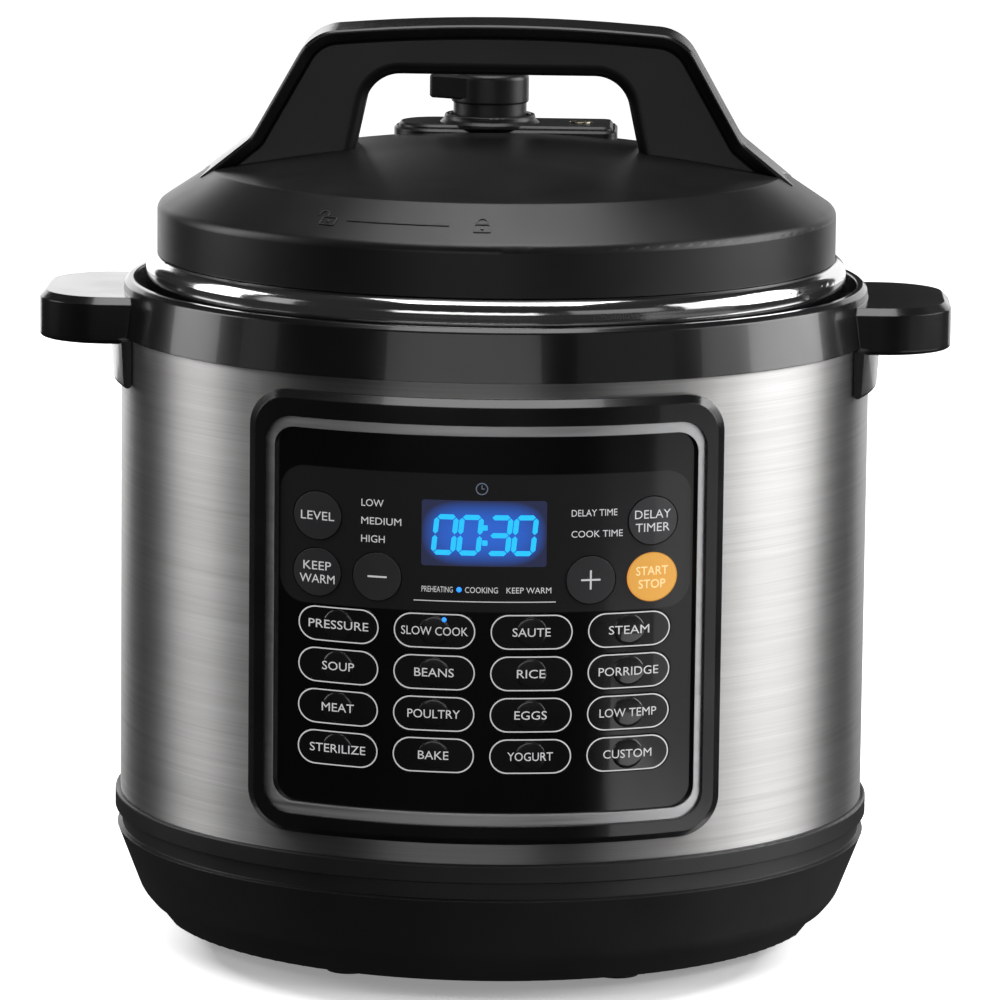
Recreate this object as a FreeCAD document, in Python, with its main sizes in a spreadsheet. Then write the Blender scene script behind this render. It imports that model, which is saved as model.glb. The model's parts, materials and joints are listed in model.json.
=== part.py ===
import FreeCAD, Part
import math
import os
import re

import Sketcher

# An electric pressure cooker of the six-quart class. Millimetres; +Z is up, the control panel faces -Y,
# the origin is on the floor under the middle of the object, and the pot's axis is the Z axis.

DIMENSIONS = {
    # stainless sleeve
    "sleeve_radius": 138, "sleeve_wall": 0.8, "sleeve_foot": 47, "sleeve_head": 226,
    "opening_half_width": 80, "opening_foot": 61.5, "opening_head": 212.5, "opening_corner": 11,
    # base shell
    "base_lip_radius": 139.9, "base_lip_top": 50, "base_lip_foot": 43.5, "base_groove_radius": 137.3,
    "base_groove_foot": 36.5, "base_taper_radius": 139.1, "base_heel_radius": 130.2, "base_heel_height": 13.5,
    "base_toe_radius": 121.5, "base_toe_height": 3.5, "base_skirt_radius": 113.5, "base_side_height": 9.5,
    "base_flange_radius": 100, "base_floor_top": 12, "base_wall": 3, "base_spigot_top": 52,
    "post_circle": 108, "post_radius": 5, "post_bore": 1.6, "pot_seat": 64,
    # bottom plate, feet and screws
    "plate_disc_radius": 113, "plate_foot": 7, "foot_circle": 103, "foot_angle": 28, "foot_radius": 9,
    "screw_radius": 1.5, "screw_head_radius": 4, "screw_head_height": 2.2, "screw_length": 24,
    "vent_width": 3, "vent_length": 26, "vent_circle": 52, "vent_count": 24,
    # power inlet
    "inlet_half_width": 18, "inlet_half_height": 13, "inlet_height": 27, "inlet_back": 142.5,
    "inlet_front": 112,
    "socket_half_width": 12.7, "socket_half_height": 8.8, "socket_depth": 14,
    "blade_width": 2, "blade_height": 4, "blade_pitch": 7, "blade_reach": 10,
    # top collar and side handles
    "collar_radius": 139.2, "collar_foot": 222, "collar_shoulder_radius": 136.9, "collar_shoulder": 239.4,
    "collar_top": 241, "collar_rim_radius": 135.4, "collar_inner_radius": 133, "gutter_floor": 227.5,
    "gutter_radius": 117, "gutter_wall": 2.5,
    "grip_reach": 167.5, "grip_half_depth": 39, "grip_foot": 219.5, "grip_top": 236.5, "grip_corner": 26,
    "grip_chamfer": 2.5, "tab_radius": 142, "tab_foot": 204, "tab_angle": 36,
    # control panel
    "panel_outer_half_width": 84, "panel_outer_foot": 57.5, "panel_outer_head": 216.5, "panel_outer_corner": 14,
    "panel_ridge_radius": 142.5, "panel_bevel": 2.6, "panel_back_radius": 135.5,
    "cutter_depth": 150, "panel_wall_foot": 40, "panel_wall_height": 200, "fine_round": 0.6, "soft_round": 2,
    "trim_outer_half_width": 77.9, "trim_outer_foot": 64.6, "trim_outer_head": 207.4, "trim_outer_corner": 9.5,
    "trim_inner_half_width": 74.8, "trim_inner_foot": 68.7, "trim_inner_head": 203.6, "trim_inner_corner": 7.5,
    "trim_radius": 141.5, "overlay_radius": 140, "overlay_back": 138.1,
    "bay_half_width": 71.6, "bay_foot": 72.5, "bay_head": 200,
    "window_half_width": 22, "window_half_height": 11.7, "window_height": 169, "window_corner": 1,
    "board_front": 118.6, "board_thickness": 1.6, "board_half_width": 61.5, "board_foot": 65.5,
    "board_head": 206.5,
    "stud_offset": 45, "stud_radius": 3, "stud_low": 68.6, "stud_high": 203.8,
    "module_half_width": 24, "module_half_height": 14, "module_front": 131,
    # keys
    "key_gap": 0.35, "key_flange": 0.45, "key_face_radius": 140.35, "key_flange_radius": 137.7,
    "key_back_radius": 136.2, "stem_radius": 1.6, "stem_end": 121, "switch_width": 4.5, "switch_height": 1.8,
    "preset_half_width": 14.5, "preset_half_height": 6.3, "preset_pitch_x": 34.2, "preset_pitch_z": 14.85,
    "preset_top_row": 134, "round_key_radius": 8.5, "round_key_outer_x": 59.1, "round_key_inner_x": 37.6,
    "round_key_upper": 172.5, "round_key_lower": 152.3,
    # heating chamber, pot and heater
    "chamber_radius": 115.5, "chamber_wall": 1, "chamber_mouth": 88, "chamber_rim_radius": 118.5,
    "chamber_rim_top": 239.2, "ring_radius": 119, "ring_foot": 234.5, "ring_lug_radius": 125.5,
    "ring_lug_foot": 236, "lug_count": 8, "ring_lug_angle": 20, "lid_lug_angle": 18,
    "pot_radius": 112.5, "pot_wall": 1.2, "pot_floor": 74.2, "pot_floor_wall": 2, "pot_corner": 12,
    "pot_rim_radius": 117.5, "pot_rim_foot": 239.3, "pot_rim_top": 240.5,
    "heater_radius": 84, "heater_foot": 62, "heater_top": 74, "heater_bore": 13.5, "hub_radius": 15.5,
    "hub_foot": 50, "hub_floor": 52, "hub_bore": 5.6, "element_circle": 62, "element_radius": 4,
    "sensor_radius": 13.1, "sensor_face": 4, "sensor_stem": 5, "sensor_stem_foot": 49,
    "sensor_coil_radius": 8.2, "sensor_wire": 0.7, "support_circle": 76, "support_radius": 6, "support_top": 44,
    "guide_radius": 3, "guide_top": 60.5, "plate_coil_radius": 5, "plate_wire": 0.9,
    "cutout_radius": 7, "cutout_height": 8, "cutout_y": -38, "cutout_tab_x": 11, "cutout_tab_half_width": 3,
    # mains board in the base
    "mains_half_width": 48, "mains_back": 20, "mains_front": -60, "mains_foot": 18, "mains_top": 19.6,
    "mains_stud_radius": 3, "mains_stud_inset": 6, "capacitor_radius": 8, "capacitor_x": -28,
    "capacitor_top": 42,
    # lid
    "lid_plate_top": 250, "lid_plate_wall": 1.5, "lid_rim_radius": 129, "lid_rim_corner": 5.2,
    "lid_rim_foot": 231.5, "lid_lug_radius": 121, "lid_lug_height": 1.8,
    "cover_radius": 125, "cover_foot": 250.1, "cover_edge": 268, "cover_edge_corner": 4, "cone_radius": 105,
    "cone_top": 281.3, "dome_knee": 40, "dome_top": 292.3, "dome_radius": 465, "cover_wall": 2.5,
    "rack_radius": 103.7, "rack_wall": 1.2, "rack_foot": 242.5,
    "seal_inner": 104.1, "seal_outer": 113.5, "seal_foot": 240.8, "seal_top": 248.2, "seal_lip": 1.8,
    # lid handle
    "handle_half_depth": 16.5, "strap_end_x": 108.5, "strap_end_z": 278.6, "strap_kink_x": 90,
    "strap_kink_z": 293.5, "strap_corner_x": 68, "strap_corner_z": 332.5, "strap_top": 337.7,
    "strap_kink_round": 12, "strap_corner_round": 17, "strap_crown_round": 650,
    "core_half_depth": 13.8, "core_end_x": 104.8, "core_end_z": 275.2, "core_kink_x": 86.1,
    "core_kink_z": 290.3,
    "core_corner_x": 65, "core_corner_z": 327.6, "core_top": 332.9,
    "core_kink_round": 8, "core_corner_round": 12, "core_crown_round": 645,
    "strap_edge_chamfer": 0.7, "strap_undercut": 3.8, "core_edge_chamfer": 0.5, "grip_gap_fillet": 4.5,
    "grip_gap_top": 317, "grip_gap_corner_x": 46, "grip_gap_foot_x": 58, "grip_gap_round": 13,
    "handle_foot": 262,
    "handle_screw_x": 84, "handle_screw_y": 9, "handle_screw_radius": 2, "handle_screw_top": 288,
    "handle_head_radius": 4,
    "handle_boss_radius": 5,
    # steam release valve and float valve
    "valve_x": -4, "valve_y": 45, "platform_left": -38, "platform_right": 42, "platform_half_depth": 15,
    "platform_top": 293.9, "platform_foot": 284, "platform_left_round": 14.5, "platform_right_round": 4,
    "platform_step": 1.8, "platform_step_top": 292.4, "platform_bevel": 0.9,
    "valve_ring_radius": 17, "valve_ring_flare": 1.6, "valve_ring_top": 297, "valve_ring_bore": 15,
    "valve_ring_floor": 295.2, "knob_stem_radius": 13.7, "knob_foot": 295.5,
    "knob_shoulder": 301.4, "knob_radius": 14.5, "knob_top": 312.5, "knob_bore": 5.35, "knob_bore_top": 303,
    "lever_reach": 22.5, "lever_tip_half_width": 4.5, "lever_root_x": 8, "lever_root_half_width": 12,
    "lever_foot": 303, "lever_top": 311.8,
    "pipe_radius": 5, "pipe_bore": 2, "pipe_top": 302, "pipe_foot": 243,
    "filter_radius": 12, "filter_wall": 1, "filter_foot": 238.5, "filter_slot_width": 2, "filter_slot_count": 6,
    "float_x": 30, "float_radius": 2.5, "float_head_radius": 4, "float_head_foot": 291.9, "float_top": 294.4,
    "float_foot": 239, "float_hole": 4.6, "gasket_radius": 5.5, "gasket_height": 2.5,
}

PRESET_NAMES = [
    ["pressure", "slow", "saute", "steam"],
    ["soup", "bean", "rice", "porridge"],
    ["beef", "chicken", "egg", "sous_vide"],
    ["sterilize", "bake", "yogurt", "custom"],
]

doc = FreeCAD.newDocument("PressureCooker")
sheet = doc.addObject("Spreadsheet::Sheet", "Dimensions")
for row, (alias, size) in enumerate(DIMENSIONS.items(), start=1):
    sheet.set(f"A{row}", alias)
    sheet.set(f"B{row}", str(size))
    sheet.setAlias(f"B{row}", alias)
doc.recompute()

SUB_PARTS = []


def bind(text):
    """An expression written with the sheet's aliases, made to read them from the sheet."""
    return re.sub(r"\b([a-z]+_[a-z_]+)\b", r"Dimensions.\1", str(text))


def value(text):
    """The number that an expression of aliases gives now."""
    return float(sheet.evalExpression(str(text)))


def sub_part(item, label):
    """Names a finished sub-part; its label is its file's name."""
    item.Label = label
    SUB_PARTS.append(item)
    return item


def place(item, at, turn=None):
    """Binds an object's position, after turning it about an axis: turn is (axis, degrees)."""
    if turn:
        rotation = FreeCAD.Rotation(FreeCAD.Vector(*turn[0]), turn[1])
        item.Placement = FreeCAD.Placement(FreeCAD.Vector(), rotation)
    for axis, text in zip("xyz", at):
        item.setExpression(f"Placement.Base.{axis}", bind(text))
    return item


def primitive(kind, name, sizes, at=(0, 0, 0), turn=None):
    """A Part primitive with its sizes bound to the sheet."""
    item = doc.addObject(f"Part::{kind}", name)
    for size_name, text in sizes.items():
        item.setExpression(size_name, bind(text))
    return place(item, at, turn)


def cylinder(name, radius, foot, top, x=0, y=0):
    """An upright cylinder from one height to another."""
    sizes = {"Radius": radius, "Height": f"({top}) - ({foot})"}
    return primitive("Cylinder", name, sizes, (x, y, foot))


def rod(name, radius, x, z, y_low, y_high):
    """A cylinder lying along Y."""
    sizes = {"Radius": radius, "Height": f"({y_high}) - ({y_low})"}
    return primitive("Cylinder", name, sizes, (x, y_high, z), ((1, 0, 0), 90))


def box(name, x, y, z):
    """A box between pairs of limits."""
    spans = {"Length": x, "Width": y, "Height": z}
    sizes = {side: f"({high}) - ({low})" for side, (low, high) in spans.items()}
    return primitive("Box", name, sizes, (x[0], y[0], z[0]))


def cut(name, base, *tools):
    """The base with every tool taken away."""
    item = doc.addObject("Part::Cut", name)
    item.Base = base
    item.Tool = tools[0] if len(tools) == 1 else fuse(f"{name}_tools", *tools)
    return item


def fuse(name, *shapes):
    item = doc.addObject("Part::MultiFuse", name)
    item.Shapes = list(shapes)
    return item


def group(name, *shapes):
    """Separate solids kept together in one sub-part."""
    item = doc.addObject("Part::Compound", name)
    item.Links = list(shapes)
    return item


def common(name, first, second):
    item = doc.addObject("Part::Common", name)
    item.Base = first
    item.Tool = second
    return item


def origin_item(body, role):
    """One of a body's own origin planes or axes."""
    return next(item for item in body.Origin.OriginFeatures if item.Role == role)


def new_sketch(body, name, role="XZ_Plane", height=None):
    """A sketch on one of the body's own origin planes, raised along the plane's normal."""
    sketch = body.newObject("Sketcher::SketchObject", name)
    sketch.AttachmentSupport = [(origin_item(body, role), "")]
    sketch.MapMode = "FlatFace"
    if height is not None:
        sketch.setExpression("AttachmentOffset.Base.z", bind(height))
    return sketch


def pin_point(sketch, geometry, vertex, corner):
    """Binds a point's two coordinates to expressions."""
    for kind, text in zip(("DistanceX", "DistanceY"), corner):
        index = sketch.addConstraint(Sketcher.Constraint(kind, -1, 1, geometry, vertex, value(text)))
        sketch.setExpression(f"Constraints[{index}]", bind(text))


def add_outline(sketch, corners):
    """A closed outline of straight edges; a corner is (across, up) or (across, up, radius of its rounding)."""
    points = [FreeCAD.Vector(value(corner[0]), value(corner[1]), 0) for corner in corners]
    radii = [value(corner[2]) if len(corner) > 2 else 0 for corner in corners]
    count = len(points)
    starts, ends = [], []
    for index, (point, radius) in enumerate(zip(points, radii)):
        back = (points[index - 1] - point).normalize()
        ahead = (points[(index + 1) % count] - point).normalize()
        reach = radius / math.tan(back.getAngle(ahead) / 2) if radius else 0
        ends.append(point + back * reach)
        starts.append(point + ahead * reach)
    first = sketch.GeometryCount
    for index in range(count):
        sketch.addGeometry(Part.LineSegment(starts[index], ends[(index + 1) % count]))
    for index, corner in enumerate(corners):
        before, after = first + (index - 1) % count, first + index
        if not radii[index]:
            sketch.addConstraint(Sketcher.Constraint("Coincident", before, 2, after, 1))
            pin_point(sketch, after, 1, corner)
            continue
        bisector = ((starts[index] + ends[index]) * 0.5 - points[index]).normalize()
        half = (ends[index] - points[index]).getAngle(bisector)
        centre = points[index] + bisector * (radii[index] / math.sin(half))
        spokes = [ends[index] - centre, starts[index] - centre]
        hollow = spokes[0].cross(spokes[1]).z < 0
        angles = [math.atan2(spoke.y, spoke.x) for spoke in (reversed(spokes) if hollow else spokes)]
        circle = Part.Circle(centre, FreeCAD.Vector(0, 0, 1), radii[index])
        sweep = (angles[1] - angles[0]) % math.tau
        arc = sketch.addGeometry(Part.ArcOfCircle(circle, angles[0], angles[0] + sweep))
        sketch.addConstraint(Sketcher.Constraint("Tangent", before, 2, arc, 2 if hollow else 1))
        sketch.addConstraint(Sketcher.Constraint("Tangent", arc, 1 if hollow else 2, after, 1))
        bend = sketch.addConstraint(Sketcher.Constraint("Radius", arc, radii[index]))
        sketch.setExpression(f"Constraints[{bend}]", bind(corner[2]))
        tip = sketch.addGeometry(Part.Point(points[index]), True)
        pin_point(sketch, tip, 1, corner)
        sketch.addConstraint(Sketcher.Constraint("PointOnObject", tip, 1, before))
        sketch.addConstraint(Sketcher.Constraint("PointOnObject", tip, 1, after))


def add_circle(sketch, x, y, radius):
    """A circle with its centre and radius bound to expressions."""
    centre = FreeCAD.Vector(value(x), value(y), 0)
    ring = sketch.addGeometry(Part.Circle(centre, FreeCAD.Vector(0, 0, 1), value(radius)))
    pin_point(sketch, ring, 3, (x, y))
    index = sketch.addConstraint(Sketcher.Constraint("Radius", ring, value(radius)))
    sketch.setExpression(f"Constraints[{index}]", bind(radius))


def rectangle(half_width, foot, head, corner=None):
    """The corners of an outline that is centred on the sheet's vertical axis."""
    rounding = (corner,) if corner is not None else ()
    left, right = f"-({half_width})", half_width
    corners = [(left, foot), (right, foot), (right, head), (left, head)]
    return [corner + rounding for corner in corners]


def new_body(name):
    return doc.addObject("PartDesign::Body", name)


def turn(body, corners, name="turned", angle=360):
    """A solid of revolution about Z, from a half-section of (radius, height) corners."""
    sketch = new_sketch(body, f"{name}_section")
    add_outline(sketch, corners)
    feature = body.newObject("PartDesign::Revolution", name)
    feature.Profile = sketch
    feature.ReferenceAxis = (sketch, ["V_Axis"])
    feature.Angle = angle
    feature.Midplane = angle != 360
    body.Tip = feature
    return feature


def turned_body(name, corners):
    body = new_body(name)
    turn(body, corners)
    return body


def pad(body, sketch, length, name, both_ways=False):
    feature = body.newObject("PartDesign::Pad", name)
    feature.Profile = sketch
    feature.setExpression("Length", bind(length))
    feature.Midplane = both_ways
    body.Tip = feature
    return feature


def pocket(body, sketch, length, name, reverse=False):
    """A pocket that has to remove material: cuts down from the sketch, or up from it when reversed."""
    doc.recompute()
    before = body.Shape.Volume
    feature = body.newObject("PartDesign::Pocket", name)
    feature.Profile = sketch
    feature.setExpression("Length", bind(length))
    feature.Reversed = reverse
    body.Tip = feature
    doc.recompute()
    if body.Shape.Volume > before - 1e-6:
        raise ValueError(f"{body.Name}.{name} cuts nothing")
    return feature


def polar(body, feature, count, name):
    """Repeats a feature round the Z axis."""
    pattern = body.newObject("PartDesign::PolarPattern", name)
    pattern.Originals = [feature]
    pattern.Axis = (origin_item(body, "Z_Axis"), [""])
    pattern.Angle = 360
    pattern.setExpression("Occurrences", bind(count))
    body.Tip = pattern
    return pattern


def soften(body, kind, size, chosen, name):
    """A Fillet or Chamfer on the body's edges that the test chooses."""
    doc.recompute()
    base = body.Tip
    names = [f"Edge{number}" for number, edge in enumerate(base.Shape.Edges, start=1) if chosen(edge)]
    feature = body.newObject(f"PartDesign::{kind}", name)
    feature.Base = (base, names)
    feature.setExpression("Radius" if kind == "Fillet" else "Size", bind(size))
    body.Tip = feature
    doc.recompute()
    return feature


def soften_solid(kind, name, base, size, chosen):
    """A Part Fillet or Chamfer on the edges of any solid that the test chooses."""
    doc.recompute()
    feature = doc.addObject(f"Part::{kind}", name)
    feature.Base = base
    amount = value(size)
    feature.Edges = [(number, amount, amount) for number, edge in enumerate(base.Shape.Edges, start=1)
                     if chosen(edge)]
    return feature


def middle_of(edge):
    return edge.valueAt((edge.FirstParameter + edge.LastParameter) / 2)


def on_side(edge, depth):
    """Whether an edge lies in the front or back face of a piece of this half depth."""
    limits = edge.BoundBox
    return limits.YLength < 1e-3 and abs(abs(limits.YMin) - depth) < 1e-3


def prism(name, corners, depth="cutter_depth"):
    """An outline in the XZ plane, extended forwards from the axis to cut or bound the front of the object."""
    body = new_body(name)
    sketch = new_sketch(body, f"{name}_outline")
    add_outline(sketch, corners)
    pad(body, sketch, depth, f"{name}_pad")
    return body


def wall(name, inner, outer):
    """The front half of a tube, between two radii, over the height of the control panel."""
    parts = []
    for end, radius in (("outer", outer), ("inner", inner)):
        sizes = {"Radius": radius, "Height": "panel_wall_height", "Angle": "180"}
        foot = (0, 0, value("panel_wall_foot"))
        parts.append(primitive("Cylinder", f"{name}_{end}", sizes, foot, ((0, 0, 1), 180)))
    return cut(name, *parts)


# --- base ------------------------------------------------------------------------------------------------

def make_base():
    body = new_body("base_shell_body")
    turn(body, [
        ("base_skirt_radius", "base_toe_height"),
        ("base_toe_radius", "base_toe_height", "soft_round"),
        ("base_heel_radius", "base_heel_height", "14"),
        ("base_taper_radius", "base_groove_foot"),
        ("base_groove_radius", "base_groove_foot + 0.6"),
        ("base_groove_radius", "base_lip_foot - 0.8"),
        ("base_lip_radius", "base_lip_foot"),
        ("base_lip_radius", "base_lip_top", "0.8"),
        ("sleeve_radius + 0.1", "base_lip_top"),
        ("sleeve_radius + 0.1", "sleeve_foot - 0.1"),
        ("sleeve_radius - sleeve_wall - 0.1", "sleeve_foot - 0.1"),
        ("sleeve_radius - sleeve_wall - 0.1", "base_spigot_top"),
        ("base_groove_radius - base_wall", "base_spigot_top"),
        ("base_groove_radius - base_wall", "base_groove_foot"),
        ("base_heel_radius - base_wall", "base_heel_height + 2"),
        ("base_heel_radius - base_wall - 3", "base_floor_top"),
        ("base_flange_radius", "base_floor_top"),
        ("base_flange_radius", "base_side_height"),
        ("base_skirt_radius", "base_side_height"),
    ])
    sides = new_sketch(body, "side_relief_outline", "XY_Plane", "base_side_height")
    for side in ("", "-"):
        add_outline(sides, [(f"{side}80", 0), (f"{side}160", "-100"), (f"{side}160", "100")])
    pocket(body, sides, "20", "side_relief")
    posts = new_sketch(body, "post_outline", "XY_Plane", "base_floor_top")
    add_circle(posts, "post_circle * cos(45)", "post_circle * sin(45)", "post_radius")
    polar(body, pad(body, posts, "pot_seat - base_floor_top", "post"), "4", "posts")
    bore = new_sketch(body, "bore_outline", "XY_Plane", "base_side_height - 1")
    add_circle(bore, "post_circle * cos(45)", "post_circle * sin(45)", "post_bore")
    polar(body, pocket(body, bore, "26", "post_bore_hole", reverse=True), "4", "post_bores")
    hole = new_sketch(body, "inlet_hole_outline", "XZ_Plane")
    add_outline(hole, rectangle("inlet_half_width + 0.2", "inlet_height - inlet_half_height - 0.2",
                                "inlet_height + inlet_half_height + 0.2", "2.2"))
    pocket(body, hole, "160", "inlet_hole")
    sub_part(body, "base_shell")

    plate = new_body("bottom_plate_body")
    disc = new_sketch(plate, "disc_outline", "XY_Plane", "plate_foot")
    add_circle(disc, 0, 0, "plate_disc_radius")
    pad(plate, disc, "base_side_height - plate_foot", "disc")
    slot = new_sketch(plate, "vent_outline", "XY_Plane", "plate_foot - 1")
    add_outline(slot, [("vent_circle - vent_length / 2", "-vent_width / 2", "1.4"),
                       ("vent_circle + vent_length / 2", "-vent_width / 2", "1.4"),
                       ("vent_circle + vent_length / 2", "vent_width / 2", "1.4"),
                       ("vent_circle - vent_length / 2", "vent_width / 2", "1.4")])
    polar(plate, pocket(plate, slot, "10", "vent", reverse=True), "vent_count", "vents")
    holes = new_sketch(plate, "screw_hole_outline", "XY_Plane", "plate_foot - 1")
    add_circle(holes, "post_circle * cos(45)", "post_circle * sin(45)", "post_bore")
    polar(plate, pocket(plate, holes, "10", "screw_hole", reverse=True), "4", "screw_holes")
    sub_part(plate, "bottom_plate")

    feet, screws = [], []
    for number in range(4):
        flip_x, flip_y = ("", "-")[number % 2], ("", "-")[number // 2]
        at = (f"{flip_x}foot_circle * sin(foot_angle)", f"{flip_y}foot_circle * cos(foot_angle)", 0)
        sizes = {"Radius1": "foot_radius - 1", "Radius2": "foot_radius", "Height": "plate_foot"}
        feet.append(primitive("Cone", f"foot_{number}", sizes, at))
        x, y = f"{flip_x}post_circle * cos(45)", f"{flip_y}post_circle * sin(45)"
        head = cylinder(f"base_head_{number}", "screw_head_radius", "plate_foot - screw_head_height",
                        "plate_foot", x, y)
        shank = cylinder(f"base_shank_{number}", "screw_radius", "plate_foot - 0.5",
                         "plate_foot + screw_length", x, y)
        screws.append(fuse(f"base_screw_{number}", head, shank))
    sub_part(group("rubber_feet_group", *feet), "rubber_feet")
    sub_part(group("base_screws_group", *screws), "base_screws")


def make_inlet():
    body = new_body("power_inlet_body")
    block = new_sketch(body, "block_outline", "XZ_Plane", "-inlet_front")
    add_outline(block, rectangle("inlet_half_width", "inlet_height - inlet_half_height",
                                 "inlet_height + inlet_half_height", "soft_round"))
    feature = pad(body, block, "inlet_back - inlet_front", "block")
    feature.Reversed = True
    socket = new_sketch(body, "socket_outline", "XZ_Plane", "-(inlet_back - socket_depth)")
    low, high = "inlet_height - socket_half_height", "inlet_height + socket_half_height"
    add_outline(socket, [("-socket_half_width", low, "1.5"), ("socket_half_width", low, "1.5"),
                         ("socket_half_width", f"{high} - 4"), ("socket_half_width - 4", high),
                         ("-socket_half_width + 4", high), ("-socket_half_width", f"{high} - 4")])
    pocket(body, socket, "30", "socket")
    blades = []
    slots = new_sketch(body, "blade_slot_outline", "XZ_Plane", "-100")
    for offset_x, offset_z in ((-1, -1), (0, 1), (1, -1)):
        x = f"{offset_x} * blade_pitch"
        z = f"inlet_height + {offset_z} * blade_height / 2"
        add_outline(slots, [(f"{x} - blade_width / 2", f"{z} - blade_height / 2"),
                            (f"{x} + blade_width / 2", f"{z} - blade_height / 2"),
                            (f"{x} + blade_width / 2", f"{z} + blade_height / 2"),
                            (f"{x} - blade_width / 2", f"{z} + blade_height / 2")])
        blades.append(box(f"blade_{offset_x + 1}", (f"{x} - blade_width / 2", f"{x} + blade_width / 2"),
                          ("inlet_front - 8", "inlet_back - socket_depth + blade_reach"),
                          (f"{z} - blade_height / 2", f"{z} + blade_height / 2")))
    pocket(body, slots, "60", "blade_slots")
    sub_part(body, "power_inlet")
    sub_part(group("inlet_pins_group", *blades), "inlet_pins")


# --- outer body ------------------------------------------------------------------------------------------

def make_sleeve():
    body = turned_body("body_shell_body", [
        ("sleeve_radius - sleeve_wall", "sleeve_foot"), ("sleeve_radius", "sleeve_foot"),
        ("sleeve_radius", "sleeve_head"), ("sleeve_radius - sleeve_wall", "sleeve_head"),
    ])
    opening = new_sketch(body, "panel_opening_outline", "XZ_Plane", "1")
    add_outline(opening, rectangle("opening_half_width", "opening_foot", "opening_head", "opening_corner"))
    pocket(body, opening, "160", "panel_opening", reverse=True)
    sub_part(body, "body_shell")


def make_collar():
    body = new_body("top_collar_body")
    grips = new_sketch(body, "grip_outline", "XY_Plane", "grip_foot")
    add_outline(grips, [("-grip_reach", "-grip_half_depth", "grip_corner"),
                        ("grip_reach", "-grip_half_depth", "grip_corner"),
                        ("grip_reach", "grip_half_depth", "grip_corner"),
                        ("-grip_reach", "grip_half_depth", "grip_corner")])
    pad(body, grips, "grip_top - grip_foot", "grips")
    top, foot = value("grip_top"), value("grip_foot")
    soften(body, "Chamfer", "grip_chamfer", lambda edge: abs(edge.BoundBox.ZMin - top) < 1e-3, "grip_chamfers")
    soften(body, "Fillet", "1.5", lambda edge: abs(edge.BoundBox.ZMax - foot) < 1e-3, "grip_undersides")
    tab = turn(body, [("sleeve_radius + 0.1", "tab_foot", "1.4"), ("tab_radius - 1", "tab_foot", "1.4"),
                      ("tab_radius", "grip_foot + 2"), ("sleeve_radius + 0.1", "grip_foot + 2")],
               "tab", value("tab_angle"))
    polar(body, tab, "2", "tabs")
    lower = new_sketch(body, "lower_clearance", "XY_Plane", "sleeve_head + 0.2")
    add_circle(lower, 0, 0, "sleeve_radius + 0.1")
    pocket(body, lower, "30", "sleeve_room")
    upper = new_sketch(body, "upper_clearance", "XY_Plane", "sleeve_head")
    add_circle(upper, 0, 0, "collar_inner_radius + 1")
    pocket(body, upper, "30", "rim_room", reverse=True)
    turn(body, [
        ("sleeve_radius + 0.1", "collar_foot"), ("collar_radius", "collar_foot"),
        ("collar_shoulder_radius", "collar_shoulder", "1"), ("collar_rim_radius", "collar_top", "0.8"),
        ("collar_inner_radius", "collar_top", "0.8"), ("collar_inner_radius", "gutter_floor", "soft_round"),
        ("gutter_radius", "gutter_floor"), ("gutter_radius", "gutter_floor - gutter_wall"),
        ("sleeve_radius - sleeve_wall - 0.2", "gutter_floor - gutter_wall"),
        ("sleeve_radius - sleeve_wall - 0.2", "sleeve_head + 0.2"),
        ("sleeve_radius + 0.1", "sleeve_head + 0.2"),
    ], "collar")
    sub_part(body, "top_collar")


# --- control panel ---------------------------------------------------------------------------------------

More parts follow.
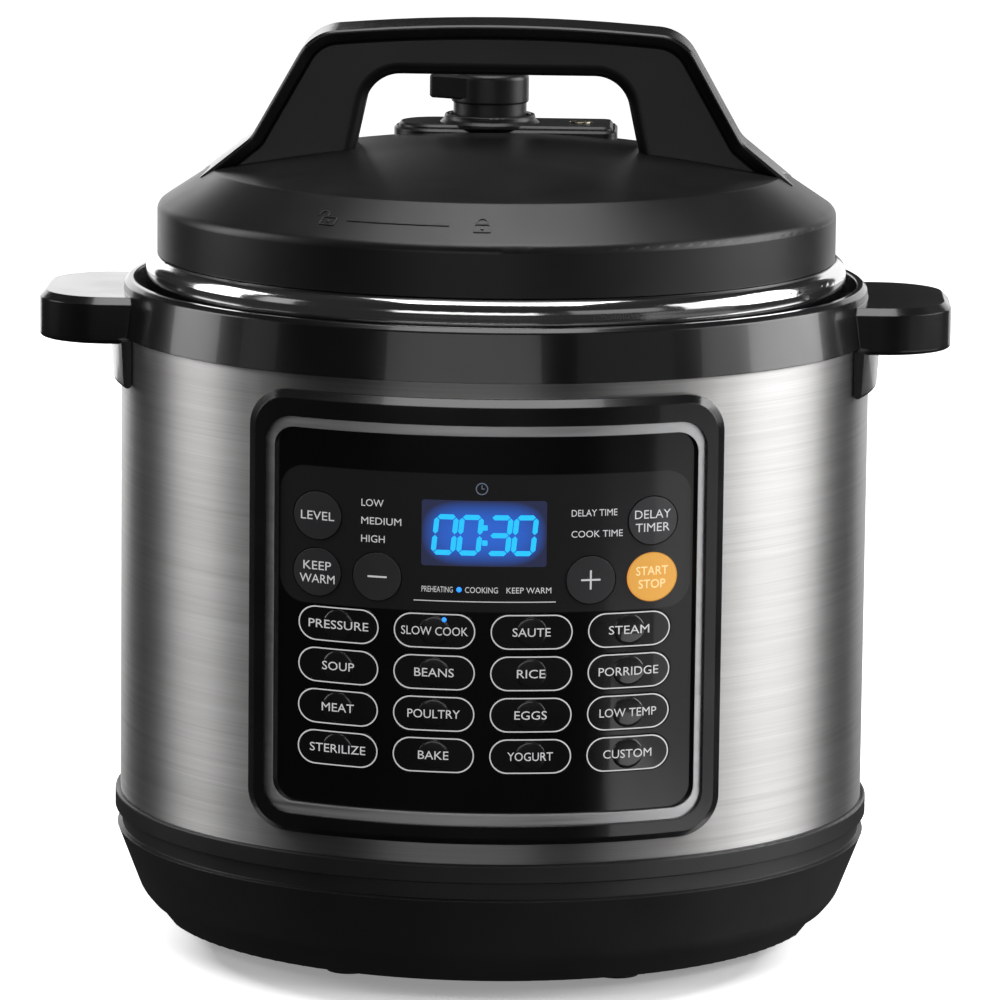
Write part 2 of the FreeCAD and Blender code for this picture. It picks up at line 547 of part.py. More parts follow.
def make_panel():
    """The frame, its metal trim, the overlay with its key holes, the window and what is behind them."""
    trim_outer = prism("trim_outer", rectangle("trim_outer_half_width", "trim_outer_foot", "trim_outer_head",
                                               "trim_outer_corner"))
    trim_inner = prism("trim_inner", rectangle("trim_inner_half_width", "trim_inner_foot", "trim_inner_head",
                                               "trim_inner_corner"))
    bay = prism("bay", rectangle("bay_half_width", "bay_foot", "bay_head", "4"))

    panel_outer = prism("panel_outer", rectangle("panel_outer_half_width", "panel_outer_foot",
                                                 "panel_outer_head", "panel_outer_corner"))
    lip_wall = wall("frame_lip_wall", "sleeve_radius + 0.05", "panel_ridge_radius")
    lip = common("frame_lip_blank", lip_wall, panel_outer)
    ridge = value("panel_ridge_radius")
    bevel = soften_solid("Chamfer", "frame_lip", lip, "panel_bevel",
                         lambda edge: all(abs(math.hypot(vertex.X, vertex.Y) - ridge) < 1e-3
                                          for vertex in edge.Vertexes))
    throat = common("frame_throat", wall("frame_throat_wall", "panel_back_radius", "sleeve_radius + 0.05"),
                    prism("throat", rectangle("opening_half_width - 0.2", "opening_foot + 0.2",
                                              "opening_head - 0.2", "opening_corner - 0.2")))
    ring = cut("frame_ring", fuse("frame_blank", bevel, throat), trim_outer)
    shelf = cut("frame_shelf", common("frame_shelf_blank", wall("frame_shelf_wall", "panel_back_radius",
                                                                "overlay_back - 0.05"), trim_outer), bay)
    studs = [rod(f"stud_{side}_{level}", "stud_radius", f"{side}stud_offset", level, "-129", "-board_front")
             for side in ("", "-") for level in ("stud_low", "stud_high")]
    sub_part(fuse("panel_frame_fuse", ring, shelf, *studs), "panel_frame")

    trim_wall = wall("trim_wall", "overlay_back", "trim_radius")
    sub_part(cut("panel_trim_cut", common("trim_blank", trim_wall, trim_outer), trim_inner), "panel_trim")

    window_low, window_high = "window_height - window_half_height", "window_height + window_half_height"
    window = prism("window", rectangle("window_half_width", window_low, window_high, "window_corner"))
    overlay_wall = wall("overlay_wall", "overlay_back", "overlay_radius")
    blank = common("overlay_blank", overlay_wall, trim_inner)
    holes = [key_outline(f"{name}_hole", x, z, shape, "key_gap") for name, x, z, shape in key_places()]
    sub_part(cut("panel_overlay_cut", blank, window, *holes), "panel_overlay")
    sub_part(common("display_window_common", overlay_wall, window), "display_window")

    module = box("display_module_box", ("-module_half_width", "module_half_width"),
                 ("-module_front", "-board_front"),
                 ("window_height - module_half_height", "window_height + module_half_height"))
    sub_part(module, "display_module")
    board = box("control_board_box", ("-board_half_width", "board_half_width"),
                ("-board_front", "-board_front + board_thickness"), ("board_foot", "board_head"))
    sub_part(board, "control_board")


def key_places():
    """Every key as (name, x, z, shape): six round keys and four rows of four preset keys."""
    places = [
        ("level", "-round_key_outer_x", "round_key_upper", "round"),
        ("keep_warm", "-round_key_outer_x", "round_key_lower", "round"),
        ("minus", "-round_key_inner_x", "round_key_lower", "round"),
        ("plus", "round_key_inner_x", "round_key_lower", "round"),
        ("delay_timer", "round_key_outer_x", "round_key_upper", "round"),
        ("start_cancel", "round_key_outer_x", "round_key_lower", "round"),
    ]
    for row, names in enumerate(PRESET_NAMES):
        for column, name in enumerate(names):
            x = f"{column - 1.5} * preset_pitch_x"
            places.append((name, x, f"preset_top_row - {row} * preset_pitch_z", "pill"))
    return places


def key_outline(name, x, z, shape, extra):
    """A key's outline grown by an amount, extended forwards from the axis."""
    if shape == "round":
        return rod(name, f"round_key_radius + {extra}", x, z, "-150", "-100")
    wide, tall = f"(preset_half_width + {extra})", f"(preset_half_height + {extra})"
    rounding = f"{tall} - 0.05"
    return prism(name, [(f"{x} {across} {wide}", f"{z} {up} {tall}", rounding)
                        for across, up in (("-", "-"), ("+", "-"), ("+", "+"), ("-", "+"))])


def make_keys():
    """Each key is a cap in the overlay, a flange behind it and a stem that reaches its switch."""
    cap_wall = wall("key_cap_wall", "key_back_radius", "key_face_radius")
    flange_wall = wall("key_flange_wall", "key_back_radius", "key_flange_radius")
    switches = []
    for name, x, z, shape in key_places():
        cap = common(f"{name}_cap", cap_wall, key_outline(f"{name}_face", x, z, shape, "0"))
        flange = common(f"{name}_flange", flange_wall,
                        key_outline(f"{name}_edge", x, z, shape, "key_gap + key_flange"))
        root = f"-sqrt((key_back_radius + 0.8) ^ 2 - ({x}) ^ 2)"
        stem = rod(f"{name}_stem", "stem_radius", x, z, root, "-stem_end")
        sub_part(fuse(f"key_{name}_fuse", cap, flange, stem), f"key_{name}")
        switches.append(box(f"{name}_switch", (f"{x} - switch_width / 2", f"{x} + switch_width / 2"),
                            ("-board_front - switch_height", "-board_front"),
                            (f"{z} - switch_width / 2", f"{z} + switch_width / 2")))
    sub_part(group("tact_switches_group", *switches), "tact_switches")


# --- heating chamber -------------------------------------------------------------------------------------

def make_chamber():
    sub_part(turned_body("outer_pot_body", [
        ("chamber_mouth", "pot_seat"), ("chamber_radius", "pot_seat", "6"),
        ("chamber_radius", "chamber_rim_top - chamber_wall"),
        ("chamber_rim_radius", "chamber_rim_top - chamber_wall"), ("chamber_rim_radius", "chamber_rim_top"),
        ("chamber_radius - chamber_wall", "chamber_rim_top"),
        ("chamber_radius - chamber_wall", "pot_seat + chamber_wall", "5"),
        ("chamber_mouth", "pot_seat + chamber_wall"),
    ]), "outer_pot")

    ring = new_body("locking_ring_body")
    ring_top = "chamber_rim_top - chamber_wall - 0.1"
    turn(ring, [("chamber_radius + 0.1", "ring_foot"), ("ring_radius", "ring_foot"),
                ("ring_radius", ring_top), ("chamber_radius + 0.1", ring_top)], "hoop")
    lug = turn(ring, [("chamber_radius + 1", "ring_lug_foot"),
                      ("ring_lug_radius", "ring_lug_foot", "fine_round"),
                      ("ring_lug_radius", ring_top, "fine_round"), ("chamber_radius + 1", ring_top)],
               "lug", value("ring_lug_angle"))
    polar(ring, lug, "lug_count", "lugs")
    ring.setExpression("Placement.Rotation.Angle", bind("180 / lug_count"))
    sub_part(ring, "locking_ring")

    sub_part(turned_body("inner_pot_body", [
        (0, "pot_floor"), ("pot_radius", "pot_floor", "pot_corner"), ("pot_radius", "pot_rim_foot"),
        ("pot_rim_radius", "pot_rim_foot"), ("pot_rim_radius", "pot_rim_top", "fine_round"),
        ("pot_radius - pot_wall", "pot_rim_top", "fine_round"),
        ("pot_radius - pot_wall", "pot_floor + pot_floor_wall", "pot_corner - 1.2"),
        (0, "pot_floor + pot_floor_wall"),
    ]), "inner_pot")


def make_heater():
    sub_part(turned_body("heating_plate_body", [
        ("hub_bore", "hub_foot"), ("hub_radius", "hub_foot", "1"), ("hub_radius", "heater_foot"),
        ("heater_radius", "heater_foot", "soft_round"), ("heater_radius", "heater_top", "soft_round"),
        ("heater_bore", "heater_top"), ("heater_bore", "hub_floor"), ("hub_bore", "hub_floor"),
    ]), "heating_plate")
    element_level = "heater_foot - element_radius"
    tube = primitive("Torus", "element_tube", {"Radius1": "element_circle", "Radius2": "element_radius"},
                     (0, 0, element_level))
    pins = [cylinder(f"element_pin_{side}", "element_radius - 1", "heater_foot - 22", element_level,
                     f"{side}12", "sqrt(element_circle ^ 2 - 144)") for side in ("", "-")]
    sub_part(fuse("heating_element_fuse", tube, *pins), "heating_element")
    sub_part(turned_body("temperature_sensor_body", [
        (0, "sensor_stem_foot"), ("sensor_stem", "sensor_stem_foot", "0.5"),
        ("sensor_stem", "heater_top - sensor_face"), ("sensor_radius", "heater_top - sensor_face"),
        ("sensor_radius", "heater_top", "1"), (0, "heater_top"),
    ]), "temperature_sensor")
    sub_part(coil("sensor_spring_coil", "sensor_coil_radius", "sensor_wire", "hub_floor",
                  "heater_top - sensor_face", 5), "sensor_spring")

    supports, coils = [], []
    for number in range(3):
        angle = 90 + 120 * number
        x, y = f"support_circle * cos({angle})", f"support_circle * sin({angle})"
        pillar = cylinder(f"pillar_{number}", "support_radius", "base_side_height", "support_top", x, y)
        guide = cylinder(f"guide_{number}", "guide_radius", "support_top - 1", "guide_top", x, y)
        supports.append(fuse(f"support_{number}", pillar, guide))
        coils.append(coil(f"plate_coil_{number}", "plate_coil_radius", "plate_wire", "support_top",
                          "heater_foot", 6, x, y))
    sub_part(group("plate_posts_group", *supports), "plate_posts")
    sub_part(group("plate_springs_group", *coils), "plate_springs")
    cutout_foot = "heater_foot - cutout_height"
    can = cylinder("cutout_can", "cutout_radius", cutout_foot, "heater_foot", 0, "cutout_y")
    tabs = [box(f"cutout_tab_{side}",
                (f"{side}cutout_tab_x - cutout_tab_half_width", f"{side}cutout_tab_x + cutout_tab_half_width"),
                ("cutout_y - 2", "cutout_y + 2"), (f"{cutout_foot} + 1", f"{cutout_foot} + 2"))
            for side in ("", "-")]
    sub_part(fuse("thermal_cutout_fuse", can, *tabs), "thermal_cutout")


def coil(name, radius, wire, foot, top, turns, x=0, y=0):
    """A compression spring: a round wire swept along a helix between two heights, its ends kept inside them."""
    rise = f"(({top}) - ({foot}) - 2 * ({wire}) - 0.1)"
    helix = primitive("Helix", f"{name}_path", {"Radius": radius, "Height": rise, "Pitch": f"{rise} / {turns}"},
                      (x, y, f"{foot} + {wire} + 0.05"))
    section = primitive("Circle", f"{name}_section", {"Radius": wire},
                        (f"({x}) + ({radius})", y, f"{foot} + {wire} + 0.05"), ((1, 0, 0), 90))
    doc.recompute()
    sweep = doc.addObject("Part::Sweep", name)
    sweep.Sections = [section]
    sweep.Spine = (helix, [f"Edge{number + 1}" for number in range(len(helix.Shape.Edges))])
    sweep.Solid = True
    sweep.Frenet = True
    return sweep


MAINS_BLOCKS = {
    # name: limits along X, limits along Y, top
    "transformer": ((-40, -14), (-50, -26), 40),
    "relay": ((6, 26), (-50, -34), 36),
    "heat_sink": ((20, 26), (-20, 12), 38),
}


def make_power_board():
    """The mains board in the base, with its transformer, relay, heat sink and capacitor."""
    board = box("mains_plate", ("-mains_half_width", "mains_half_width"), ("mains_front", "mains_back"),
                ("mains_foot", "mains_top"))
    places = {"right": "mains_half_width - mains_stud_inset", "left": "-mains_half_width + mains_stud_inset"}
    rows = {"front": "mains_front + mains_stud_inset", "back": "mains_back - mains_stud_inset"}
    studs = [cylinder(f"mains_stud_{row}_{side}", "mains_stud_radius", "base_side_height", "mains_foot", x, y)
             for side, x in places.items() for row, y in rows.items()]
    items = [box(name, across, along, ("mains_top", top))
             for name, (across, along, top) in MAINS_BLOCKS.items()]
    items.append(cylinder("capacitor", "capacitor_radius", "mains_top", "capacitor_top", "capacitor_x", 0))
    sub_part(group("power_board_group", fuse("mains_board", board, *studs), *items), "power_board")


# --- lid -------------------------------------------------------------------------------------------------

def domed_body(name, inset, foot):
    """The lid cover's outer shape, or a shape inside it: a wall, a cone and a shallow dome."""
    return turned_body(name, [
        (f"cover_radius - {inset}", foot),
        (f"cover_radius - {inset}", f"cover_edge - {inset} * 0.45", "cover_edge_corner"),
        (f"cone_radius - {inset} * 0.45", f"cone_top - {inset} * 0.93", "soft_round"),
        ("dome_knee", f"dome_top - {inset}", "dome_radius"), (0, f"dome_top - {inset}"), (0, foot),
    ])


def screw_places():
    return [(f"{side}handle_screw_x", f"{end}handle_screw_y") for side in ("", "-") for end in ("", "-")]


def make_lid():
    plate = new_body("lid_plate_body")
    turn(plate, [
        (0, "lid_plate_top - lid_plate_wall"),
        ("lid_rim_radius - lid_plate_wall", "lid_plate_top - lid_plate_wall",
         "lid_rim_corner - lid_plate_wall"),
        ("lid_rim_radius - lid_plate_wall", "lid_rim_foot"), ("lid_rim_radius", "lid_rim_foot"),
        ("lid_rim_radius", "lid_plate_top", "lid_rim_corner"), (0, "lid_plate_top"),
    ], "dish")
    lug = turn(plate, [
        ("lid_lug_radius", "lid_rim_foot", "fine_round"), ("lid_rim_radius - 0.5", "lid_rim_foot"),
        ("lid_rim_radius - 0.5", "lid_rim_foot + lid_lug_height"),
        ("lid_lug_radius", "lid_rim_foot + lid_lug_height", "fine_round"),
    ], "lug", value("lid_lug_angle"))
    polar(plate, lug, "lug_count", "lugs")
    holes = new_sketch(plate, "hole_outlines", "XY_Plane", "lid_plate_top + 1")
    for x, y in screw_places():
        add_circle(holes, x, y, "handle_screw_radius + 0.2")
    add_circle(holes, "valve_x", "valve_y", "pipe_radius + 0.05")
    add_circle(holes, "float_x", "valve_y", "float_radius + 0.4")
    pocket(plate, holes, "5", "holes")
    return plate


def platform_tier(name, grown, top):
    """One tier of the mound under the valves: a bevelled plate with one round end."""
    body = new_body(name)
    outline = new_sketch(body, f"{name}_outline", "XY_Plane", "platform_foot")
    left, right = f"platform_left - {grown}", f"platform_right + {grown}"
    low, high = f"valve_y - platform_half_depth - {grown}", f"valve_y + platform_half_depth + {grown}"
    left_round, right_round = f"platform_left_round + {grown}", f"platform_right_round + {grown}"
    add_outline(outline, [(left, low, left_round), (right, low, right_round), (right, high, right_round),
                          (left, high, left_round)])
    pad(body, outline, f"{top} - platform_foot", f"{name}_pad")
    level = value(top)
    soften(body, "Chamfer", "platform_bevel", lambda edge: abs(edge.BoundBox.ZMin - level) < 1e-3,
           f"{name}_bevel")
    return body


def make_cover():
    shell = cut("cover_shell", domed_body("cover_solid", "0", "cover_foot"),
                domed_body("cover_hollow", "cover_wall", "cover_foot - 1"))
    tiers = [platform_tier("platform", "0", "platform_top"),
             platform_tier("platform_skirt", "platform_step", "platform_step_top")]
    ring = turned_body("valve_ring", [
        (0, "platform_top - 1"), ("valve_ring_radius + valve_ring_flare", "platform_top - 1"),
        ("valve_ring_radius + valve_ring_flare", "platform_top"),
        ("valve_ring_radius", "platform_top + 1.4", "1.5"),
        ("valve_ring_radius", "valve_ring_top", "0.8"), ("valve_ring_bore", "valve_ring_top", "fine_round"),
        ("valve_ring_bore", "valve_ring_floor"), (0, "valve_ring_floor"),
    ])
    place(ring, ("valve_x", "valve_y", 0))
    bosses = [cylinder(f"handle_boss_{number}", "handle_boss_radius", "cover_foot", "dome_top - 10", x, y)
              for number, (x, y) in enumerate(screw_places())]
    bores = [cylinder(f"handle_bore_{number}", "handle_screw_radius + 0.2", "cover_foot - 1",
                      "handle_screw_top", x, y)
             for number, (x, y) in enumerate(screw_places())]
    pipe_room = cylinder("pipe_room", "pipe_radius + 0.05", "cover_foot", "valve_ring_top + 1",
                         "valve_x", "valve_y")
    float_room = cylinder("float_room", "float_hole", "cover_foot", "platform_top + 1", "float_x", "valve_y")
    blank = fuse("lid_cover_blank", shell, *tiers, ring, *bosses)
    sub_part(cut("lid_cover_cut", blank, *bores, pipe_room, float_room), "lid_cover")


def mirrored_outline(right_half):
    """A closed outline from the points of its right half, listed from the foot up to the axis."""
    left_half = []
    for corner in reversed(right_half):
        if str(corner[0]) != "0":
            left_half.append((f"-({corner[0]})",) + corner[1:])
    return right_half + left_half


def make_handle():
    """A bridge across the lid: a core with the finger gap, under a strap that runs from foot to foot."""
    envelope = domed_body("lid_envelope", "0", "cover_foot - 20")
    core_outline = mirrored_outline([
        ("core_end_x", "handle_foot"), ("core_end_x", "core_end_z"),
        ("core_kink_x", "core_kink_z", "core_kink_round"),
        ("core_corner_x", "core_corner_z", "core_corner_round"),
        ("0", "core_top", "core_crown_round"),
    ])
    gap_outline = mirrored_outline([("grip_gap_foot_x", "handle_foot - 1"),
                                    ("grip_gap_corner_x", "grip_gap_top", "grip_gap_round")])
    strap_outline = mirrored_outline([
        ("core_end_x", "handle_foot"), ("core_end_x", "core_end_z"), ("strap_end_x", "strap_end_z"),
        ("strap_kink_x", "strap_kink_z", "strap_kink_round"),
        ("strap_corner_x", "strap_corner_z", "strap_corner_round"),
        ("0", "strap_top", "strap_crown_round"),
    ])
    core_depth, strap_depth = value("core_half_depth"), value("handle_half_depth")
    gap_reach, gap_top, foot = value("grip_gap_foot_x"), value("grip_gap_top"), value("handle_foot")
    core = soften_solid("Chamfer", "core_edged", bridge("handle_core", core_outline, "2 * core_half_depth"),
                        "core_edge_chamfer",
                        lambda edge: on_side(edge, core_depth) and middle_of(edge).z > foot + 1)
    opened = cut("core_opened", core, bridge("finger_gap", gap_outline, "2 * core_half_depth + 2"))

    def rims_gap(edge):
        middle = middle_of(edge)
        return on_side(edge, core_depth) and abs(middle.x) < gap_reach and foot + 1 < middle.z < gap_top + 0.1

    rounded = soften_solid("Fillet", "core_rounded", opened, "grip_gap_fillet", rims_gap)
    bores = [cylinder(f"core_bore_{number}", "handle_screw_radius + 0.05", "handle_foot",
                      "handle_screw_top + 0.5", x, y)
             for number, (x, y) in enumerate(screw_places())]
    sub_part(cut("lid_handle_cut", rounded, envelope, *bores), "lid_handle")

    strap_end = value("strap_end_z")
    strap = soften_solid("Chamfer", "strap_edged", bridge("strap", strap_outline, "2 * handle_half_depth"),
                         "strap_edge_chamfer",
                         lambda edge: on_side(edge, strap_depth) and middle_of(edge).z > strap_end)
    under = bridge("strap_underside", core_outline, "2 * handle_half_depth + 2")
    band = cut("strap_band", strap, under)
    undercut = soften_solid("Chamfer", "strap_undercut_edges", band, "strap_undercut",
                            lambda edge: on_side(edge, strap_depth)
                            and under.Shape.isInside(middle_of(edge), 0.01, True))
    sub_part(cut("handle_cap_cut", undercut, envelope), "handle_cap")

    screws = []
    for number, (x, y) in enumerate(screw_places()):
        head = cylinder(f"handle_head_{number}", "handle_head_radius", "lid_plate_top - lid_plate_wall - 2",
                        "lid_plate_top - lid_plate_wall", x, y)
        shank = cylinder(f"handle_shank_{number}", "handle_screw_radius", "lid_plate_top - lid_plate_wall - 1",
                         "handle_screw_top", x, y)
        screws.append(fuse(f"handle_screw_{number}", head, shank))
    sub_part(group("handle_screws_group", *screws), "handle_screws")


def bridge(name, corners, depth):
    """An outline in the XZ plane, extended equally to both sides of it."""
    body = new_body(name)
    sketch = new_sketch(body, f"{name}_outline")
    add_outline(sketch, corners)
    pad(body, sketch, depth, f"{name}_pad", both_ways=True)
    return body


def make_seal():
    sub_part(turned_body("seal_rack_body", [
        ("rack_radius - rack_wall", "rack_foot"), ("rack_radius", "rack_foot"),
        ("rack_radius", "lid_plate_top - lid_plate_wall"),
        ("rack_radius - rack_wall", "lid_plate_top - lid_plate_wall"),
    ]), "seal_rack")
    sub_part(turned_body("sealing_ring_body", [
        ("seal_inner", "seal_foot + 1.5"), ("seal_inner + seal_lip", "seal_foot + 1.5"),
        ("seal_inner + seal_lip", "seal_top - seal_lip"), ("seal_outer - seal_lip", "seal_top - seal_lip"),
        ("seal_outer - seal_lip", "seal_foot + 2"), ("seal_inner + 4", "seal_foot + 2"),
        ("seal_inner + 4", "seal_foot"), ("seal_outer", "seal_foot", "0.8"), ("seal_outer", "seal_top", "0.8"),
        ("seal_inner", "seal_top"),
    ]), "sealing_ring")


def make_valves():
    """The steam release knob on its pipe, the filter under it, and the float valve beside it."""
    at = ("valve_x", "valve_y")
    stem = cylinder("knob_stem", "knob_stem_radius", "knob_foot", "knob_shoulder + 1", *at)
    crown = new_body("knob_crown")
    turn(crown, [(0, "knob_shoulder"), ("knob_radius", "knob_shoulder", "0.8"),
                 ("knob_radius", "knob_top", "2.2"), (0, "knob_top")])
    place(crown, at + (0,))
    lever = new_body("knob_lever")
    outline = new_sketch(lever, "lever_outline", "XY_Plane", "lever_foot")
    add_outline(outline, [("-lever_root_x", "-lever_root_half_width"), (0, "-lever_root_half_width"),
                          (0, "lever_root_half_width"), ("-lever_root_x", "lever_root_half_width"),
                          ("-lever_reach", "lever_tip_half_width", "soft_round"),
                          ("-lever_reach", "-lever_tip_half_width", "soft_round")])
    pad(lever, outline, "lever_top - lever_foot", "lever_pad")
    ends = [value("lever_foot"), value("lever_top")]
    soften(lever, "Chamfer", "0.8", lambda edge: edge.BoundBox.ZLength < 1e-3
           and min(abs(edge.BoundBox.ZMin - end) for end in ends) < 1e-3, "lever_bevel")
    place(lever, at + (0,))
    bore = cylinder("knob_bore", "knob_bore", "knob_foot - 1", "knob_bore_top", *at)
    sub_part(cut("steam_valve_knob_cut", fuse("knob_blank", stem, crown, lever), bore), "steam_valve_knob")

    pipe = cylinder("pipe_tube", "pipe_radius", "pipe_foot", "pipe_top", *at)
    passage = cylinder("pipe_passage", "pipe_bore", "pipe_foot - 1", "pipe_top + 1", *at)
    sub_part(cut("steam_valve_pipe_cut", pipe, passage), "steam_valve_pipe")

    plate_foot = "lid_plate_top - lid_plate_wall"
    can = cylinder("filter_can", "filter_radius", "filter_foot", plate_foot, *at)
    hollow = cylinder("filter_hollow", "filter_radius - filter_wall", "filter_foot + filter_wall",
                      f"{plate_foot} + 1", *at)
    slots = []
    for number in range(int(value("filter_slot_count"))):
        angle = f"{number} * 180 / filter_slot_count"
        across, along = f"(filter_radius + 1) * cos({angle})", f"(filter_radius + 1) * sin({angle})"
        side, ahead = f"filter_slot_width / 2 * sin({angle})", f"filter_slot_width / 2 * cos({angle})"
        sizes = {"Length": "2 * filter_radius + 2", "Width": "filter_slot_width",
                 "Height": f"{plate_foot} - filter_foot - 6"}
        corner = (f"valve_x - {across} + {side}", f"valve_y - {along} - {ahead}", "filter_foot + 3")
        slots.append(primitive("Box", f"filter_slot_{number}", sizes, corner, ((0, 0, 1), value(angle))))
    sub_part(cut("valve_filter_cut", can, hollow, *slots), "valve_filter_cap")

    at = ("float_x", "valve_y")
    needle = cylinder("float_needle", "float_radius", "float_foot", "float_top - 1", *at)
    head = cylinder("float_head", "float_head_radius", "float_head_foot", "float_top", *at)
    sub_part(fuse("float_valve_fuse", needle, head), "float_valve")
    washer = cylinder("gasket_disc", "gasket_radius", "float_foot + 1", "float_foot + 1 + gasket_height", *at)
    hole = cylinder("gasket_hole", "float_radius", "float_foot", "float_foot + 2 + gasket_height", *at)
    sub_part(cut("float_gasket_cut", washer, hole), "float_gasket")


make_base()
make_inlet()
make_sleeve()
make_collar()
make_panel()
make_keys()
make_chamber()
make_heater()
make_power_board()
sub_part(make_lid(), "lid_plate")
make_cover()
make_handle()
make_seal()
make_valves()
doc.recompute()

faults = [item.Name for item in doc.Objects if {"Invalid", "Error"} & set(item.State)]
faults += [item.Label for item in SUB_PARTS if item.Shape.isNull() or not item.Shape.isValid()]
if faults:
    raise RuntimeError(f"these objects failed: {faults}")

os.makedirs("parts", exist_ok=True)
for item in SUB_PARTS:
    item.Shape.exportStep(f"parts/{item.Label}.step")
print(f"{len(SUB_PARTS)} sub-parts written")
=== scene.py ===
import json
import math

import bpy
from mathutils import Matrix, Vector


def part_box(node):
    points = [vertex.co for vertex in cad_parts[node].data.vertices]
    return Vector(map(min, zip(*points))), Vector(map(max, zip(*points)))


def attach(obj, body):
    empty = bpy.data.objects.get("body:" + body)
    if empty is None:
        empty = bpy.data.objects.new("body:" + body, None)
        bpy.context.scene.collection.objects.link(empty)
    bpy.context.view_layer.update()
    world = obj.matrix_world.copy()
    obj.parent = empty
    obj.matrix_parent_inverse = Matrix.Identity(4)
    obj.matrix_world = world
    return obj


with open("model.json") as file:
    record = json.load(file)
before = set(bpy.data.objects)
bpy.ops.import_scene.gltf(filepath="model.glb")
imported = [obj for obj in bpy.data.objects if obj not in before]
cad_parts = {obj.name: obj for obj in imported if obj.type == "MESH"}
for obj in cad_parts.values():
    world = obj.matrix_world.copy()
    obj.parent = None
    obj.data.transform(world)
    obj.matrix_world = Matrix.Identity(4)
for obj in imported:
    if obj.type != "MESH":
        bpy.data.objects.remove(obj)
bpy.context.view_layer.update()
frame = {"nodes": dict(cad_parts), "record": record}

# An electric pressure cooker. Metres; +Z is up and the control panel faces -Y.
# CAD pieces keep their shape and get a finish; printing, lamps and fine relief are added to them.

MM = 0.001


# --- materials -----------------------------------------------------------------------------------

NOISE_LOW, NOISE_HIGH = 0.3, 0.7    # where nearly all values of a noise lie
BODY_RADIUS = 0.138                 # of the steel sleeve, for marks that run round it
BRUSHING_TURN = 0.25                # a quarter turn: highlights run across the brushing
# How strongly edges are painted lighter, a painted highlight, and made a little smoother.
EDGE_HIGHLIGHT_AND_POLISH = 0.4
CLEAR_COAT_ROUGHNESS = 0.05


class Finish:
    """A material with one principled shader, and short ways to add nodes to it."""

    SOCKETS = {"metallic": "Metallic", "roughness": "Roughness", "specular": "Specular IOR Level",
               "coat": "Coat Weight", "coat_roughness": "Coat Roughness",
               "anisotropy": "Anisotropic", "anisotropic_turn": "Anisotropic Rotation",
               "glow": "Emission Color", "glow_strength": "Emission Strength",
               "sheen": "Sheen Weight", "sheen_roughness": "Sheen Roughness"}

    def __init__(self, name, **settings):
        self.material = bpy.data.materials.new(name)
        self.material.use_nodes = True
        self.tree = self.material.node_tree
        self.shader = self.tree.nodes["Principled BSDF"]
        self.set(**settings)

    def set(self, **settings):
        """Uniform values, straight on the shader's own sockets."""
        for key, value in settings.items():
            socket = self.shader.inputs[self.SOCKETS[key]]
            socket.default_value = (*value, 1.0) if isinstance(value, tuple) else value

    def node(self, kind, inputs=None, **properties):
        made = self.tree.nodes.new(f"ShaderNode{kind}")
        for key, value in properties.items():
            setattr(made, key, value)
        for key, value in (inputs or {}).items():
            self.feed(made.inputs[key], value)
        return made

    def feed(self, socket, value):
        """Links a node's output to a socket, or sets the socket to a plain value."""
        if isinstance(value, bpy.types.NodeSocket):
            self.tree.links.new(value, socket)
        else:
            socket.default_value = value

    def math(self, operation, first, second=0.0, clamp=False):
        made = self.node("Math", {0: first, 1: second}, operation=operation, use_clamp=clamp)
        return made.outputs[0]

    def add(self, first, second, clamp=False):
        return self.math("ADD", first, second, clamp)

    def subtract(self, first, second):
        return self.math("SUBTRACT", first, second)

    def multiply(self, first, second):
        return self.math("MULTIPLY", first, second)

    def spread(self, value, low, high, start=0.0, end=1.0):
        """Maps a value from the range start..end to low..high."""
        made = self.node("MapRange", {"Value": value, "From Min": start, "From Max": end,
                                      "To Min": low, "To Max": high})
        return made.outputs["Result"]

    def spread_noise(self, noise, low, high):
        return self.spread(noise, low, high, NOISE_LOW, NOISE_HIGH)

    def tint(self, value, dark, light):
        """A colour between two, by a value from 0 to 1."""
        made = self.node("Mix", {"Factor": value, 6: (*dark, 1.0), 7: (*light, 1.0)}, data_type="RGBA")
        return made.outputs[2]

    def place(self):
        return self.node("TexCoord").outputs["Object"]

    def axes(self):
        return self.node("SeparateXYZ", {0: self.place()}).outputs

    def noise(self, scale, detail=2.0, roughness=0.5, vector=None):
        """Noise in the object's own coordinates, or in those given."""
        made = self.node("TexNoise", {"Vector": vector or self.place(), "Scale": scale,
                                      "Detail": detail, "Roughness": roughness})
        return made.outputs["Fac"]

    def marks_round_axis(self, along, up, detail=2.0, roughness=0.5):
        """Noise drawn out round the vertical axis: repeats per metre along the arc and up."""
        x, y, z = self.axes()
        turn = self.math("ARCTAN2", x, self.multiply(y, -1.0))
        vector = self.node("CombineXYZ", {0: self.multiply(turn, along * BODY_RADIUS),
                                          2: self.multiply(z, up)}).outputs[0]
        return self.noise(1.0, detail, roughness, vector)

    def paint(self, color):
        self.feed(self.shader.inputs["Base Color"], color)

    def light_up(self, color, strength):
        self.feed(self.shader.inputs["Emission Color"], color)
        self.set(glow_strength=strength)

    def roughen(self, value):
        self.feed(self.shader.inputs["Roughness"], value)

    def relief(self, height, strength, depth, bevel=None):
        """Bumps the surface, over edges rounded by a bevel where one is given."""
        made = self.node("Bump", {"Height": height, "Strength": strength, "Distance": depth})
        if bevel:
            self.feed(made.inputs["Normal"], self.node("Bevel", {"Radius": bevel}, samples=4).outputs[0])
        self.feed(self.shader.inputs["Normal"], made.outputs[0])

    def edges(self, bevel):
        """0 on flat ground rising to 1 on edges, from how far a bevel turns the normal."""
        soft = self.node("Bevel", {"Radius": bevel}, samples=4).outputs[0]
        hard = self.node("NewGeometry").outputs["Normal"]
        dot = self.node("VectorMath", {0: soft, 1: hard}, operation="DOT_PRODUCT").outputs["Value"]
        return self.spread(dot, 1.0, 0.0, 0.8, 0.98)


